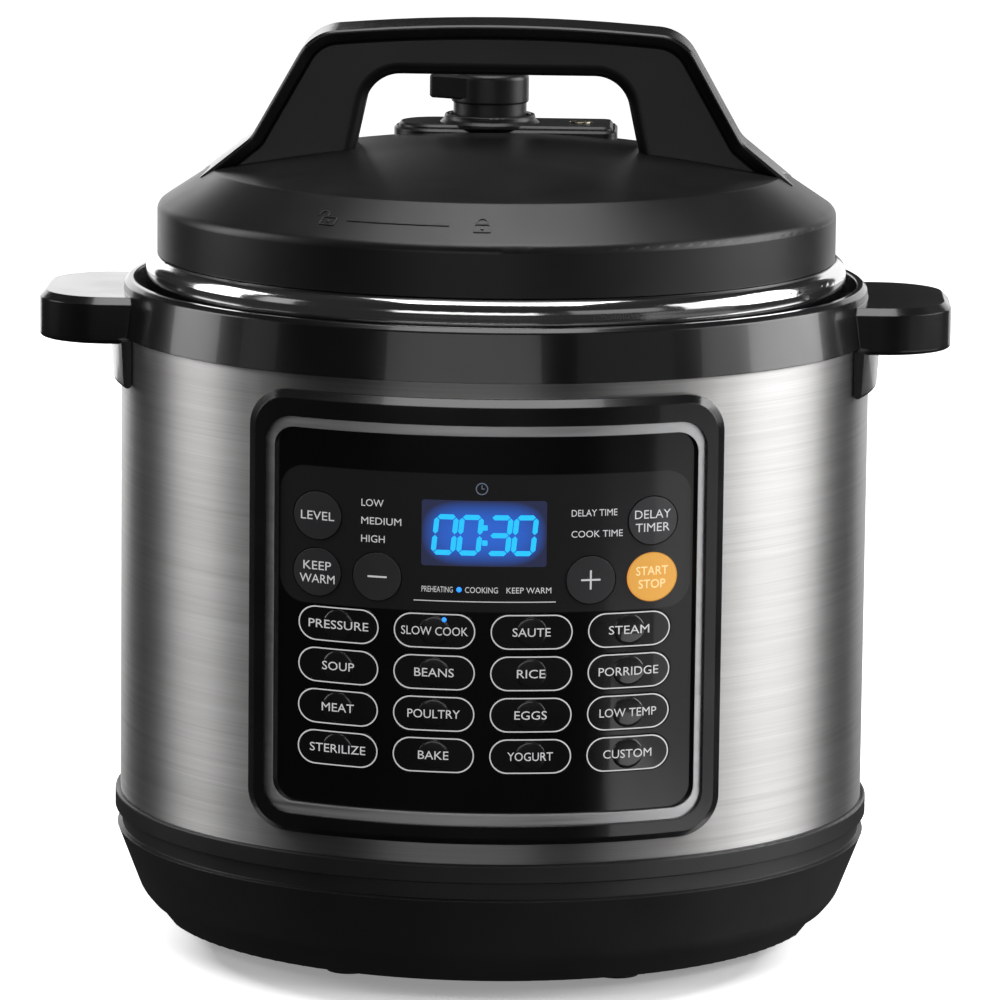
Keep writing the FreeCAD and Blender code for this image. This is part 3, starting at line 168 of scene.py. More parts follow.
def shaded(color, factor, lift=0.0):
    """A colour made darker or lighter."""
    return tuple(min(1.0, channel * factor + lift) for channel in color)


def brushed_steel(name, dark, light, smooth, rough, anisotropy):
    """Stainless steel brushed round the vertical axis, with long fine streaks."""
    finish = Finish(name, metallic=1.0, anisotropy=anisotropy, anisotropic_turn=BRUSHING_TURN)
    fine = finish.marks_round_axis(14.0, 2600.0, 3.0, 0.65)
    broad = finish.marks_round_axis(5.0, 520.0)
    cloud = finish.noise(9.0)
    streak = finish.add(finish.multiply(fine, 0.6), finish.multiply(broad, 0.4))
    finish.paint(finish.tint(finish.spread_noise(streak, 0.0, 1.0), dark, light))
    finish.roughen(finish.add(finish.spread_noise(streak, smooth, rough), finish.spread(cloud, -0.02, 0.02)))
    tangent = finish.node("Tangent", direction_type="RADIAL", axis="Z").outputs[0]
    finish.feed(finish.shader.inputs["Tangent"], tangent)
    finish.relief(streak, strength=0.1, depth=0.05 * MM, bevel=0.3 * MM)
    return finish.material


def moulded_plastic(name, color, smooth, rough, grain=0.05, grain_scale=2600.0, bevel=0.4 * MM, coat=0.0):
    """Injection-moulded plastic: fine grain, cloudy gloss, and edges a little smoother and painted lighter
    as a painted highlight.
    """
    finish = Finish(name, coat=coat, coat_roughness=CLEAR_COAT_ROUGHNESS)
    pits = finish.noise(grain_scale, 3.0, 0.6)
    cloud = finish.noise(26.0, 3.0)
    # Edges painted lighter: a painted highlight. The same mask makes them a little smoother.
    edge_highlight_and_polish = finish.multiply(finish.edges(bevel * 1.5), EDGE_HIGHLIGHT_AND_POLISH)
    shade = finish.add(finish.spread_noise(cloud, 0.0, 0.16), edge_highlight_and_polish, clamp=True)
    finish.paint(finish.tint(shade, color, shaded(color, 2.2, 0.012)))
    finish.roughen(finish.subtract(finish.spread_noise(cloud, smooth, rough), finish.multiply(edge_highlight_and_polish, 0.12)))
    finish.relief(pits, grain, depth=0.08 * MM, bevel=bevel)
    return finish.material


def polished_metal(name, color, roughness, streaks=900.0):
    """Polished metal with faint buffing marks round the axis."""
    finish = Finish(name, metallic=1.0)
    marks = finish.marks_round_axis(10.0, streaks, 3.0, 0.6)
    smear = finish.noise(30.0)
    finish.paint(finish.tint(marks, shaded(color, 0.86), color))
    finish.roughen(finish.add(finish.spread_noise(marks, roughness * 0.7, roughness * 1.3),
                              finish.spread(smear, 0.0, 0.03)))
    finish.relief(marks, strength=0.04, depth=0.04 * MM, bevel=0.4 * MM)
    return finish.material


def cast_metal(name, color, roughness, scale=700.0):
    """Cast or plated metal with an even, slightly pitted skin."""
    finish = Finish(name, metallic=1.0)
    pits = finish.noise(scale, 4.0, 0.6)
    finish.paint(finish.tint(pits, shaded(color, 0.7), color))
    finish.roughen(finish.spread_noise(pits, roughness * 0.8, roughness * 1.25))
    finish.relief(pits, strength=0.25, depth=0.1 * MM, bevel=0.3 * MM)
    return finish.material


def rubber(name, color, roughness, grain=0.3):
    """Matt rubber or silicone with a little dust."""
    finish = Finish(name, sheen=0.2, sheen_roughness=0.5)
    pits = finish.noise(1500.0, 3.0, 0.7)
    dust = finish.noise(40.0, 3.0)
    finish.paint(finish.tint(dust, color, shaded(color, 1.5, 0.01)))
    finish.roughen(finish.spread_noise(pits, roughness - 0.1, roughness + 0.1))
    finish.relief(pits, grain, depth=0.1 * MM, bevel=0.5 * MM)
    return finish.material


def circuit_board(name):
    """Solder mask with traces seen through it."""
    finish = Finish(name, coat=0.3, coat_roughness=0.2)
    cells = finish.node("TexVoronoi", {"Vector": finish.place(), "Scale": 260.0}, distance="MANHATTAN")
    traces = finish.math("GREATER_THAN", cells.outputs["Distance"], 0.55)
    finish.paint(finish.tint(traces, (0.012, 0.09, 0.035), (0.05, 0.2, 0.08)))
    finish.roughen(finish.spread(traces, 0.35, 0.25))
    finish.relief(traces, strength=0.2, depth=0.05 * MM)
    return finish.material


def rounded_zone(finish, centre_z, half_width, half_height, corner, blur):
    """1 inside an upright rounded rectangle centred at x = 0, 0 outside, with a soft border."""
    x, _, z = finish.axes()
    level = finish.subtract(z, centre_z)
    away_x = finish.subtract(finish.math("ABSOLUTE", x), half_width - corner)
    away_z = finish.subtract(finish.math("ABSOLUTE", level), half_height - corner)
    far_x = finish.math("MAXIMUM", away_x, 0.0)
    far_z = finish.math("MAXIMUM", away_z, 0.0)
    square = finish.add(finish.multiply(far_x, far_x), finish.multiply(far_z, far_z))
    inside = finish.math("MINIMUM", finish.math("MAXIMUM", away_x, away_z), 0.0)
    distance = finish.add(finish.math("SQRT", square), inside)
    return finish.spread(distance, 1.0, 0.0, corner - blur, corner + blur)


def panel_film(name, zone):
    """Gloss film over black print, with a dark grey control zone printed behind it."""
    finish = Finish(name, coat=1.0, coat_roughness=0.14, specular=0.2)
    wave = finish.noise(45.0)
    dots = finish.noise(3200.0, 2.0, 0.7)
    grey = finish.tint(dots, (0.035, 0.035, 0.037), (0.05, 0.05, 0.053))
    black = finish.tint(wave, (0.0015, 0.0015, 0.002), (0.003, 0.003, 0.0035))
    mixed = finish.node("Mix", {"Factor": rounded_zone(finish, **zone), 6: black, 7: grey}, data_type="RGBA")
    finish.paint(mixed.outputs[2])
    finish.roughen(finish.spread(wave, 0.18, 0.26))
    finish.relief(wave, strength=0.04, depth=0.2 * MM, bevel=0.25 * MM)
    return finish.material


def lit_window(name, centre_z, half_width, half_height):
    """A backlit display window: blue light gathered behind the digits, dying away to grey at its border."""
    side_fall, top_fall = 4.0, 2.5
    finish = Finish(name, coat=1.0, coat_roughness=0.03, roughness=0.2)
    x, _, z = finish.axes()
    across = finish.math("ABSOLUTE", finish.math("DIVIDE", x, half_width))
    up = finish.math("ABSOLUTE", finish.math("DIVIDE", finish.subtract(z, centre_z), half_height))
    border = finish.add(finish.math("POWER", across, side_fall), finish.math("POWER", up, top_fall),
                        clamp=True)
    screen = finish.noise(2400.0, 1.0)
    light = finish.multiply(finish.spread(border, 1.0, 0.0), finish.spread_noise(screen, 0.94, 1.06))
    finish.paint(finish.tint(light, (0.02, 0.02, 0.035), (0.01, 0.03, 0.09)))
    finish.light_up(finish.tint(light, (0.022, 0.026, 0.065), (0.03, 0.13, 0.62)), 1.0)
    return finish.material


def glowing_ink(name, color, glow):
    """Screen-printed ink, a little uneven, given a glow of its own."""
    finish = Finish(name, glow=color, glow_strength=glow)
    patch = finish.noise(1800.0)
    finish.paint(finish.tint(patch, shaded(color, 0.8), color))
    finish.roughen(finish.spread(patch, 0.35, 0.5))
    return finish.material


def lit_key(name, color):
    """A translucent coloured key lit evenly from behind."""
    finish = Finish(name, coat=0.2, coat_roughness=0.1, roughness=0.4)
    cloudy = finish.tint(finish.noise(60.0, 3.0), shaded(color, 0.88), color)
    finish.paint(cloudy)
    finish.light_up(cloudy, 0.55)
    finish.relief(finish.noise(1500.0, 3.0, 0.6), strength=0.03, depth=0.08 * MM, bevel=0.3 * MM)
    return finish.material


def glass_light(name, color, strength):
    """A lamp behind print: it glows, a little unevenly."""
    finish = Finish(name, roughness=0.3)
    patchy = finish.tint(finish.noise(900.0), shaded(color, 0.82), color)
    finish.paint(patchy)
    finish.light_up(patchy, strength)
    return finish.material


window_low, window_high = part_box("display_window")
WINDOW_Z = (window_low.z + window_high.z) / 2
WINDOW_HALF = (window_high.x, (window_high.z - window_low.z) / 2)
CONTROL_ZONE = {"centre_z": 0.1655, "half_width": 0.0725, "half_height": 0.0245,
                "corner": 0.009, "blur": 0.0003}
FINE_KEY = {"grain": 0.02, "grain_scale": 1500.0, "bevel": 0.3 * MM}

FINISHES = {
    # brushed steel: dark and light colour, smoothest and roughest, anisotropy
    "brushed_sleeve": brushed_steel("brushed_sleeve", (0.46, 0.455, 0.45), (0.64, 0.635, 0.63),
                                    0.42, 0.5, 0.9),
    "pot_steel": brushed_steel("pot_steel", (0.6, 0.6, 0.595), (0.7, 0.7, 0.69), 0.34, 0.42, 0.7),
    # other metals: colour, roughness
    "polished_rim": polished_metal("polished_rim", (0.82, 0.82, 0.82), 0.1),
    "silver_trim": polished_metal("silver_trim", (0.86, 0.86, 0.87), 0.42, streaks=600.0),
    "pressed_steel": polished_metal("pressed_steel", (0.6, 0.6, 0.6), 0.26),
    "zinc_steel": cast_metal("zinc_steel", (0.6, 0.6, 0.62), 0.3),
    "chamber_metal": cast_metal("chamber_metal", (0.62, 0.62, 0.63), 0.35),
    "cast_heater": cast_metal("cast_heater", (0.52, 0.52, 0.53), 0.45, scale=400.0),
    "spring_steel": cast_metal("spring_steel", (0.45, 0.45, 0.46), 0.3),
    "contact_metal": cast_metal("contact_metal", (0.72, 0.66, 0.5), 0.25),
    # plastics: colour, smoothest and roughest
    "gloss_black": moulded_plastic("gloss_black", (0.008, 0.008, 0.009), 0.18, 0.25, grain=0.02,
                                   grain_scale=1200.0, bevel=0.5 * MM, coat=0.3),
    "lid_plastic": moulded_plastic("lid_plastic", (0.009, 0.009, 0.01), 0.32, 0.4, grain=0.1),
    "handle_gloss": moulded_plastic("handle_gloss", (0.010, 0.010, 0.011), 0.16, 0.26),
    "valve_plastic": moulded_plastic("valve_plastic", (0.012, 0.012, 0.013), 0.3, 0.42, grain=0.1),
    "base_plastic": moulded_plastic("base_plastic", (0.034, 0.034, 0.035), 0.36, 0.46, grain=0.09),
    "inner_plastic": moulded_plastic("inner_plastic", (0.02, 0.02, 0.021), 0.45, 0.6, grain=0.12),
    "preset_key": moulded_plastic("preset_key", (0.007, 0.007, 0.008), 0.2, 0.28, coat=0.7, **FINE_KEY),
    "round_key": moulded_plastic("round_key", (0.075, 0.075, 0.08), 0.34, 0.42, grain=0.03,
                                 grain_scale=1500.0, bevel=0.3 * MM, coat=0.5),
    # The film over the switch domes, painted a little lighter than the preset keys' film: a painted
    # highlight on the domes.
    "key_dome": moulded_plastic("key_dome", (0.012, 0.012, 0.013), 0.22, 0.3, coat=0.7, **FINE_KEY),
    "lid_mark": moulded_plastic("lid_mark", (0.035, 0.035, 0.036), 0.25, 0.35),
    # the rest
    "start_key": lit_key("start_key", (0.95, 0.47, 0.09)),
    "panel_film": panel_film("panel_film", CONTROL_ZONE),
    "display_window": lit_window("display_window", WINDOW_Z, *WINDOW_HALF),
    "rubber": rubber("rubber", (0.015, 0.015, 0.015), 0.75),
    "silicone": rubber("silicone", (0.68, 0.68, 0.65), 0.5, grain=0.1),
    "circuit_board": circuit_board("circuit_board"),
}
# The pale ink glows though no lamp is behind it: painted light on plain print.
PALE_INK_PAINTED_GLOW = glowing_ink("pale_ink_painted_glow", (0.86, 0.86, 0.87), 0.42)
START_INK = glowing_ink("start_ink", (1.0, 0.78, 0.42), 0.75)
CLOCK_INK = glowing_ink("clock_ink", (0.45, 0.55, 0.8), 0.1)
DIGIT_LIGHT = glass_light("digit_light", (0.02, 0.48, 1.0), 1.15)
BLUE_LIGHT = glass_light("blue_light", (0.02, 0.22, 1.0), 2.0)


def dress_frame():
    """Gives every CAD node the finish of its material slot."""
    slots = {entry["node"]: entry["material_slot"] for entry in frame["record"]["subparts"]}
    for name, node in frame["nodes"].items():
        node.data.materials.clear()
        node.data.materials.append(FINISHES[slots[name]])


# --- surfaces that are printed on ----------------------------------------------------------------

# The panel is a drum round the pot's axis: the radius of the keys' faces and of the film between them.
KEY_FACE, FILM = 0.14035, 0.140

# The lid's cone under the handle, as (radius, height) at its upper and lower end.
CONE_HEAD, CONE_FOOT = (0.105, 0.2813), (0.125, 0.268)
CONE_SLANT = math.hypot(CONE_FOOT[0] - CONE_HEAD[0], CONE_HEAD[1] - CONE_FOOT[1])
CONE_MIDDLE = ((CONE_HEAD[0] + CONE_FOOT[0]) / 2, (CONE_HEAD[1] + CONE_FOOT[1]) / 2)

# The round dome of the switch under a preset key's film: radius, height of its edge and of its top.
KEY_DOME = (5.5 * MM, 0.12 * MM, 0.3 * MM)
DOME_SLOPE = 0.06           # the part of a dome's radius that its sloping edge takes
DOME_CLEARANCE = 1.1        # a word rises this much before the dome's edge


def on_drum(x, z, radius):
    """A point of a drum in front of (x, z)."""
    return Vector((x, -math.sqrt(radius * radius - x * x), z))


def on_face(x, z, rise):
    return on_drum(x, z, KEY_FACE + rise)


def on_film(x, z, rise):
    return on_drum(x, z, FILM + rise)


def swelling(share, edge, rise):
    """Height of a domed disc at a share of its radius: a narrow sloping edge, then a low dome."""
    if share >= 1.0:
        return 0.0
    if share > 1.0 - DOME_SLOPE:
        return edge * (1.0 - share) / DOME_SLOPE
    return edge + (rise - edge) * (1.0 - (share / (1.0 - DOME_SLOPE)) ** 2)


def over_dome(x, z):
    """The face of a preset key with its dome at (x, z)."""
    size, edge, top = KEY_DOME

    def surface(across, up, rise):
        share = math.hypot(across - x, up - z) / (size * DOME_CLEARANCE)
        return on_drum(across, up, KEY_FACE + swelling(share, edge, top) + rise)
    return surface


def on_cone(azimuth):
    """The lid's cone, measured across and up from the middle of its slope at an azimuth from the front."""
    out = (CONE_FOOT[0] - CONE_HEAD[0]) / CONE_SLANT
    down = (CONE_HEAD[1] - CONE_FOOT[1]) / CONE_SLANT

    def surface(across, up, rise):
        radius = CONE_MIDDLE[0] - up * out + rise * down
        height = CONE_MIDDLE[1] + up * down + rise * out
        turn = math.radians(azimuth) + across / CONE_MIDDLE[0]
        return Vector((radius * math.sin(turn), -radius * math.cos(turn), height))
    return surface


# --- flat shapes ---------------------------------------------------------------------------------

CAPITAL = 0.7       # a capital's height as a share of the font's size


def words(text, height):
    """A text's flat mesh as (vertices, faces), in capitals of the given height."""
    curve = bpy.data.curves.new("words", "FONT")
    curve.body = text
    curve.size = height / CAPITAL
    curve.align_x = "CENTER"
    curve.resolution_u = 3
    holder = bpy.data.objects.new("words", curve)
    mesh = bpy.data.meshes.new_from_object(holder)
    vertices = [(vertex.co.x, vertex.co.y - height / 2) for vertex in mesh.vertices]
    faces = [tuple(polygon.vertices) for polygon in mesh.polygons]
    bpy.data.objects.remove(holder)
    bpy.data.meshes.remove(mesh)
    bpy.data.curves.remove(curve)
    return vertices, faces


def rounded_loop(half_width, half_height, corner, steps=10):
    """Points round a rounded rectangle, anticlockwise."""
    points = []
    for quarter, (side, end) in enumerate(((1, 1), (-1, 1), (-1, -1), (1, -1))):
        for step in range(steps + 1):
            angle = math.radians(90 * quarter + 90 * step / steps)
            points.append((side * (half_width - corner) + corner * math.cos(angle),
                           end * (half_height - corner) + corner * math.sin(angle)))
    return points


def divided(loop, longest):
    """The loop with its long sides divided."""
    points = []
    for index, (x, z) in enumerate(loop):
        next_x, next_z = loop[(index + 1) % len(loop)]
        parts = max(1, math.ceil(math.hypot(next_x - x, next_z - z) / longest))
        points += [(x + (next_x - x) * part / parts, z + (next_z - z) * part / parts)
                   for part in range(parts)]
    return points


def rectangle(x_low, x_high, z_low, z_high):
    return [(x_low, z_low), (x_high, z_low), (x_high, z_high), (x_low, z_high)]


def half_circle(radius, foot, steps=16):
    """Points over a half circle, from its right foot to its left one, which both reach down."""
    arc = [(radius * math.cos(math.pi * step / steps), radius * math.sin(math.pi * step / steps))
           for step in range(steps + 1)]
    return [(arc[0][0], -foot), *arc, (arc[-1][0], -foot)]


# --- pieces laid on a surface --------------------------------------------------------------------

INK_RISE, INK_SINK = 0.06 * MM, 0.04 * MM
LONGEST_SIDE, LONGEST_BAR = 3 * MM, 2 * MM      # longer sides are divided, to follow the surface


def add_mesh(name, vertices, faces, material, body, smooth=False):
    mesh = bpy.data.meshes.new(name)
    mesh.from_pydata(vertices, [], faces)
    mesh.validate()
    mesh.materials.append(material)
    if smooth:
        mesh.polygons.foreach_set("use_smooth", [True] * len(mesh.polygons))
    piece = bpy.data.objects.new(name, mesh)
    bpy.context.scene.collection.objects.link(piece)
    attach(piece, body)


class Print:
    """Ink laid on a surface as thin closed slabs, gathered into one piece."""

    def __init__(self, name, body, slot, material, surface=None, rise=INK_RISE):
        self.name, self.body, self.slot, self.material = name, body, slot, material
        self.surface, self.rise = surface, rise
        self.vertices, self.faces = [], []

    def shape(self, flat, faces, x=0.0, z=0.0):
        """A flat shape moved to (x, z): its face, its back under the surface and the walls between."""
        first, count = len(self.vertices), len(flat)
        for rise in (self.rise, -INK_SINK):
            self.vertices += [self.surface(x + across, z + up, rise) for across, up in flat]
        uses = {}
        for face in faces:
            self.faces.append([first + index for index in face])
            self.faces.append([first + count + index for index in reversed(face)])
            for start, end in zip(face, (*face[1:], face[0])):
                uses.setdefault(frozenset((start, end)), []).append((start, end))
        for edges in uses.values():
            if len(edges) == 1:
                start, end = edges[0]
                self.faces.append([first + end, first + start, first + count + start, first + count + end])

    def polygon(self, flat, x=0.0, z=0.0):
        self.shape(flat, [tuple(range(len(flat)))], x, z)

    def band(self, outer, inner, x=0.0, z=0.0, closed=True):
        """The strip between two outlines with the same number of points."""
        count = len(outer)
        faces = []
        for start in range(count if closed else count - 1):
            end = (start + 1) % count
            faces.append((start, end, count + end, count + start))
        self.shape(outer + inner, faces, x, z)

    def bar(self, x_low, x_high, z, half_height):
        """A level line, divided so that it follows the surface."""
        parts = max(1, math.ceil((x_high - x_low) / LONGEST_BAR))
        along = [x_low + (x_high - x_low) * part / parts for part in range(parts + 1)]
        lower, upper = ([(x, level) for x in along] for level in (-half_height, half_height))
        self.band(lower, upper, 0.0, z, closed=False)

    def word(self, text, x, z, height, width, left=False):
        """Upright letters of a given width, centred on (x, z) or starting there."""
        flat, faces = words(text, height)
        low, high = min(point[0] for point in flat), max(point[0] for point in flat)
        scale = width / (high - low)
        start = low if left else (low + high) / 2
        self.shape([((across - start) * scale, up) for across, up in flat], faces, x, z)

    def ring(self, outline, width, x, z):
        """A line inside a rounded outline: half width, half height, corner."""
        half_width, half_height, _ = outline
        outer = divided(rounded_loop(*outline), LONGEST_SIDE)
        squeeze_x, squeeze_z = (half_width - width) / half_width, (half_height - width) / half_height
        self.band(outer, [(across * squeeze_x, up * squeeze_z) for across, up in outer], x, z)

    def finish(self):
        add_mesh(self.name, self.vertices, self.faces, self.material, self.body)


def dome(name, place, profile, radius, material, body, steps=56):
    """A round swelling on a drum: an edge, a low dome inside it and a flat back just under the surface."""
    (x, z), (size, edge, rise) = place, profile
    rings = (0.3, 0.6, 0.8, 0.94, 1.0)
    vertices, faces = [on_drum(x, z, radius + rise)], []
    for share in rings:
        height = swelling(share, edge, rise) - (INK_SINK if share == 1.0 else 0.0)
        for step in range(steps):
            angle = math.tau * step / steps
            vertices.append(on_drum(x + size * share * math.cos(angle),
                                    z + size * share * math.sin(angle), radius + height))
    faces += [(0, 1 + step, 1 + (step + 1) % steps) for step in range(steps)]
    for ring in range(len(rings) - 1):
        for step in range(steps):
            first, last = 1 + ring * steps + step, 1 + ring * steps + (step + 1) % steps
            faces.append((first, first + steps, last + steps, last))
    faces.append([1 + (len(rings) - 1) * steps + step for step in reversed(range(steps))])
    add_mesh(name, vertices, faces, material, body, smooth=True)


# --- keys ----------------------------------------------------------------------------------------

PRESETS = {
    # key: word, and its width in millimetres
    "pressure": ("PRESSURE", 21.5), "slow": ("SLOW COOK", 23.6), "saute": ("SAUTE", 13.4),
    "steam": ("STEAM", 14.2), "soup": ("SOUP", 11.5), "bean": ("BEANS", 14), "rice": ("RICE", 10),
    "porridge": ("PORRIDGE", 21), "beef": ("MEAT", 11.6), "chicken": ("POULTRY", 18.6),
    "egg": ("EGGS", 11.4), "sous_vide": ("LOW TEMP", 20), "sterilize": ("STERILIZE", 20),
    "bake": ("BAKE", 10.8), "yogurt": ("YOGURT", 16), "custom": ("CUSTOM", 17),
}
PRESET_OUTLINE = (14.4 * MM, 6.2 * MM, 6.19 * MM)
PRESET_LINE, PRESET_LETTER = 0.42 * MM, 3.05 * MM

ROUND_KEYS = {
    # key: lines of (word, width in millimetres)
    "level": [("LEVEL", 12)], "keep_warm": [("KEEP", 10), ("WARM", 12.6)], "minus": [], "plus": [],
    "delay_timer": [("DELAY", 12.6), ("TIMER", 12)], "start_cancel": [("START", 11.2), ("STOP", 9.4)],
}
ROUND_LETTER, ROUND_LINE_STEP = 3.1 * MM, 4.7 * MM
SIGN_REACH, SIGN_HALF = 3.4 * MM, 0.32 * MM     # plus and minus: half length and half thickness


def key_centre(name):
    low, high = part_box(f"key_{name}")
    return (low.x + high.x) / 2, (low.z + high.z) / 2


def print_preset_keys():
    """Each preset key's outline, word and the dome of the switch under its film."""
    for name, (text, width) in PRESETS.items():
        x, z = key_centre(name)
        body = f"key_{name}"
        ink = Print(f"print_{name}", body, "preset_key", PALE_INK_PAINTED_GLOW, on_face)
        ink.ring(PRESET_OUTLINE, PRESET_LINE, x, z)
        ink.finish()
        # The dome's film is painted lighter than the key's, a painted highlight; its raised shape is real.
        dome(f"dome_{name}", (x, z), KEY_DOME, KEY_FACE, FINISHES["key_dome"], body)
        raised = Print(f"word_{name}", body, "preset_key", PALE_INK_PAINTED_GLOW, over_dome(x, z))
        raised.word(text, x, z, PRESET_LETTER, width * MM)
        raised.finish()


def print_round_keys():
    """Words and signs on the round keys."""
    for name, lines in ROUND_KEYS.items():
        x, z = key_centre(name)
        slot, material = ("start_key", START_INK) if name == "start_cancel" else ("round_key", PALE_INK_PAINTED_GLOW)
        ink = Print(f"print_{name}", f"key_{name}", slot, material, on_face)
        top = z + (len(lines) - 1) * ROUND_LINE_STEP / 2
        for index, (text, width) in enumerate(lines):
            ink.word(text, x, top - index * ROUND_LINE_STEP, ROUND_LETTER, width * MM)
        if name in ("minus", "plus"):
            ink.bar(x - SIGN_REACH, x + SIGN_REACH, z, SIGN_HALF)
        if name == "plus":
            for low, high in ((SIGN_HALF, SIGN_REACH), (-SIGN_REACH, -SIGN_HALF)):
                ink.polygon(rectangle(-SIGN_HALF, SIGN_HALF, low, high), x, z)
        ink.finish()


# --- display and panel ---------------------------------------------------------------------------

SEGMENTS = {"0": "abcdef", "3": "abcdg"}
DIGITS = (("0", -13.8 * MM), ("0", -4.9 * MM), ("3", 5.4 * MM), ("0", 14.3 * MM))
DIGIT_WIDTH, DIGIT_HEIGHT, DIGIT_STROKE = 6.8 * MM, 12.7 * MM, 1.8 * MM
DIGIT_LEAN = 0.1
DIGIT_Z = WINDOW_Z - 0.6 * MM
COLON_X, COLON_REACH = 0.3 * MM, 2.7 * MM
COLON_LEAN = 0.0001         # as good as upright
COLON_DOT = (0.95 * MM, 0.95 * MM, 0.3 * MM)

PANEL_WORDS = (
    # text, left end, height above the floor, height of the letters, width: millimetres
    ("LOW", -43.4, 178.5, 2.55, 7.9),
    ("MEDIUM", -43.4, 172.1, 2.55, 14.2),
    ("HIGH", -43.4, 165.7, 2.55, 8.4),
    ("DELAY TIME", 30.6, 176.2, 2.4, 16),
    ("COOK TIME", 30.6, 168.7, 2.4, 18),
    ("PREHEATING", -21.8, 148.9, 2.1, 11),
    ("COOKING", -6.5, 148.9, 2.1, 11.6),
    ("KEEP WARM", 8.1, 148.9, 2.1, 15.7),
)
STATUS_RULE = (-24.6 * MM, 25.4 * MM, 144.7 * MM, 0.16 * MM)
CLOCK_PLACE, CLOCK_OUTLINE = (-0.9 * MM, 184.9 * MM), (2.15 * MM, 2.15 * MM, 2.14 * MM)
CLOCK_LINE, CLOCK_HAND_HALF, CLOCK_HAND_UP, CLOCK_HAND_SIDE = 0.34 * MM, 0.14 * MM, 1.3 * MM, 1.0 * MM
STATUS_LAMP, STATUS_LAMP_PLACE = (0.95 * MM, 0.1 * MM, 0.2 * MM), (-8.6 * MM, 148.9 * MM)
SLOW_LAMP, SLOW_LAMP_SHIFT = (0.85 * MM, 0.35 * MM, 0.45 * MM), (3.4 * MM, 4.1 * MM)
LAMP_STEPS = 20


def segment_shapes(width, height, stroke):
    """The seven bars of a digit as flat outlines with pointed ends."""
    half, reach, gap = stroke / 2, width / 2, stroke * 0.12
    level = height / 2

    def across(z):
        return [(-reach + gap + half, z - half), (reach - gap - half, z - half), (reach - gap, z),
                (reach - gap - half, z + half), (-reach + gap + half, z + half), (-reach + gap, z)]

    def upright(x, z_low, z_high):
        return [(x - half, z_low + gap + half), (x, z_low + gap), (x + half, z_low + gap + half),
                (x + half, z_high - gap - half), (x, z_high - gap), (x - half, z_high - gap - half)]

    return {"a": across(level), "g": across(0), "d": across(-level),
            "b": upright(reach, 0, level), "c": upright(reach, -level, 0),
            "e": upright(-reach, -level, 0), "f": upright(-reach, 0, level)}


def light_display():
    """The display's digits, leaning slightly, and the colon between them."""
    shapes = segment_shapes(DIGIT_WIDTH, DIGIT_HEIGHT, DIGIT_STROKE)
    digits = Print("display_digits", "housing", "display_window", DIGIT_LIGHT, on_film)
    for digit, x in DIGITS:
        for bar in SEGMENTS[digit]:
            digits.polygon([(across + up * DIGIT_LEAN, up) for across, up in shapes[bar]], x, DIGIT_Z)
    for level in (-COLON_REACH, COLON_REACH):
        digits.polygon(rounded_loop(*COLON_DOT, steps=3), COLON_X + level * COLON_LEAN, DIGIT_Z + level)
    digits.finish()


def print_panel():
    """Words, lines and lamps on the film round the display."""
    ink = Print("panel_print", "housing", "panel_film", PALE_INK_PAINTED_GLOW, on_film)
    for text, x, z, height, width in PANEL_WORDS:
        ink.word(text, x * MM, z * MM, height * MM, width * MM, left=True)
    ink.bar(*STATUS_RULE)
    ink.finish()
    half = CLOCK_HAND_HALF
    clock = Print("clock_mark", "housing", "panel_film", CLOCK_INK, on_film)
    clock.ring(CLOCK_OUTLINE, CLOCK_LINE, *CLOCK_PLACE)
    clock.polygon(rectangle(-half, half, -half, CLOCK_HAND_UP), *CLOCK_PLACE)
    clock.polygon(rectangle(half, CLOCK_HAND_SIDE, -half, half), *CLOCK_PLACE)
    clock.finish()
    dome("status_lamp", STATUS_LAMP_PLACE, STATUS_LAMP, FILM, BLUE_LIGHT, "housing",
         LAMP_STEPS)
    x, z = key_centre("slow")
    place = (x + SLOW_LAMP_SHIFT[0], z + SLOW_LAMP_SHIFT[1])
    dome("slow_lamp", place, SLOW_LAMP, KEY_FACE, BLUE_LIGHT, "key_slow", LAMP_STEPS)


# --- signs on the lid ----------------------------------------------------------------------------

MARK_RISE = 0.3 * MM
UNLOCKED_AT, LINE_AT, LOCKED_AT = -29.5, -16.5, -1.2       # degrees from the front
LID_LINE = (-19 * MM, 19 * MM, -0.6 * MM, 0.24 * MM)
PADLOCK_BODY, PADLOCK_LINE, PADLOCK_BODY_Z = (3.1 * MM, 2.3 * MM, 0.7 * MM), 0.5 * MM, -1.6 * MM
KEYHOLE = (0.55 * MM, 0.8 * MM, 0.5 * MM)
SHACKLE_OUTER, SHACKLE_INNER, SHACKLE_FOOT, SHACKLE_Z = 2.2 * MM, 1.65 * MM, 0.75 * MM, 1.6 * MM
OPEN_SHACKLE_X = -3.4 * MM


def padlock(ink, azimuth, shackle_x):
    """A plain padlock sign moulded on the lid: a body, a keyhole and a shackle."""
    ink.surface = on_cone(azimuth)
    ink.ring(PADLOCK_BODY, PADLOCK_LINE, 0.0, PADLOCK_BODY_Z)
    ink.polygon(rounded_loop(*KEYHOLE, steps=3), 0.0, PADLOCK_BODY_Z)
    ink.band(half_circle(SHACKLE_OUTER, SHACKLE_FOOT), half_circle(SHACKLE_INNER, SHACKLE_FOOT),
             shackle_x, SHACKLE_Z, closed=False)


def mark_lid():
    """The signs for unlocked and locked on the lid's cone, joined by a line."""
    ink = Print("lid_marks", "lid", "lid_plastic", FINISHES["lid_mark"], rise=MARK_RISE)
    padlock(ink, UNLOCKED_AT, OPEN_SHACKLE_X)
    padlock(ink, LOCKED_AT, 0.0)
    ink.surface = on_cone(LINE_AT)
    ink.bar(*LID_LINE)
    ink.finish()


# --- studio --------------------------------------------------------------------------------------

ROOM_GLOW = 0.025
FLOOR_RADIUS, FLOOR_Z, SURROUND_RADIUS = 12.0, -0.2 * MM, 12.5

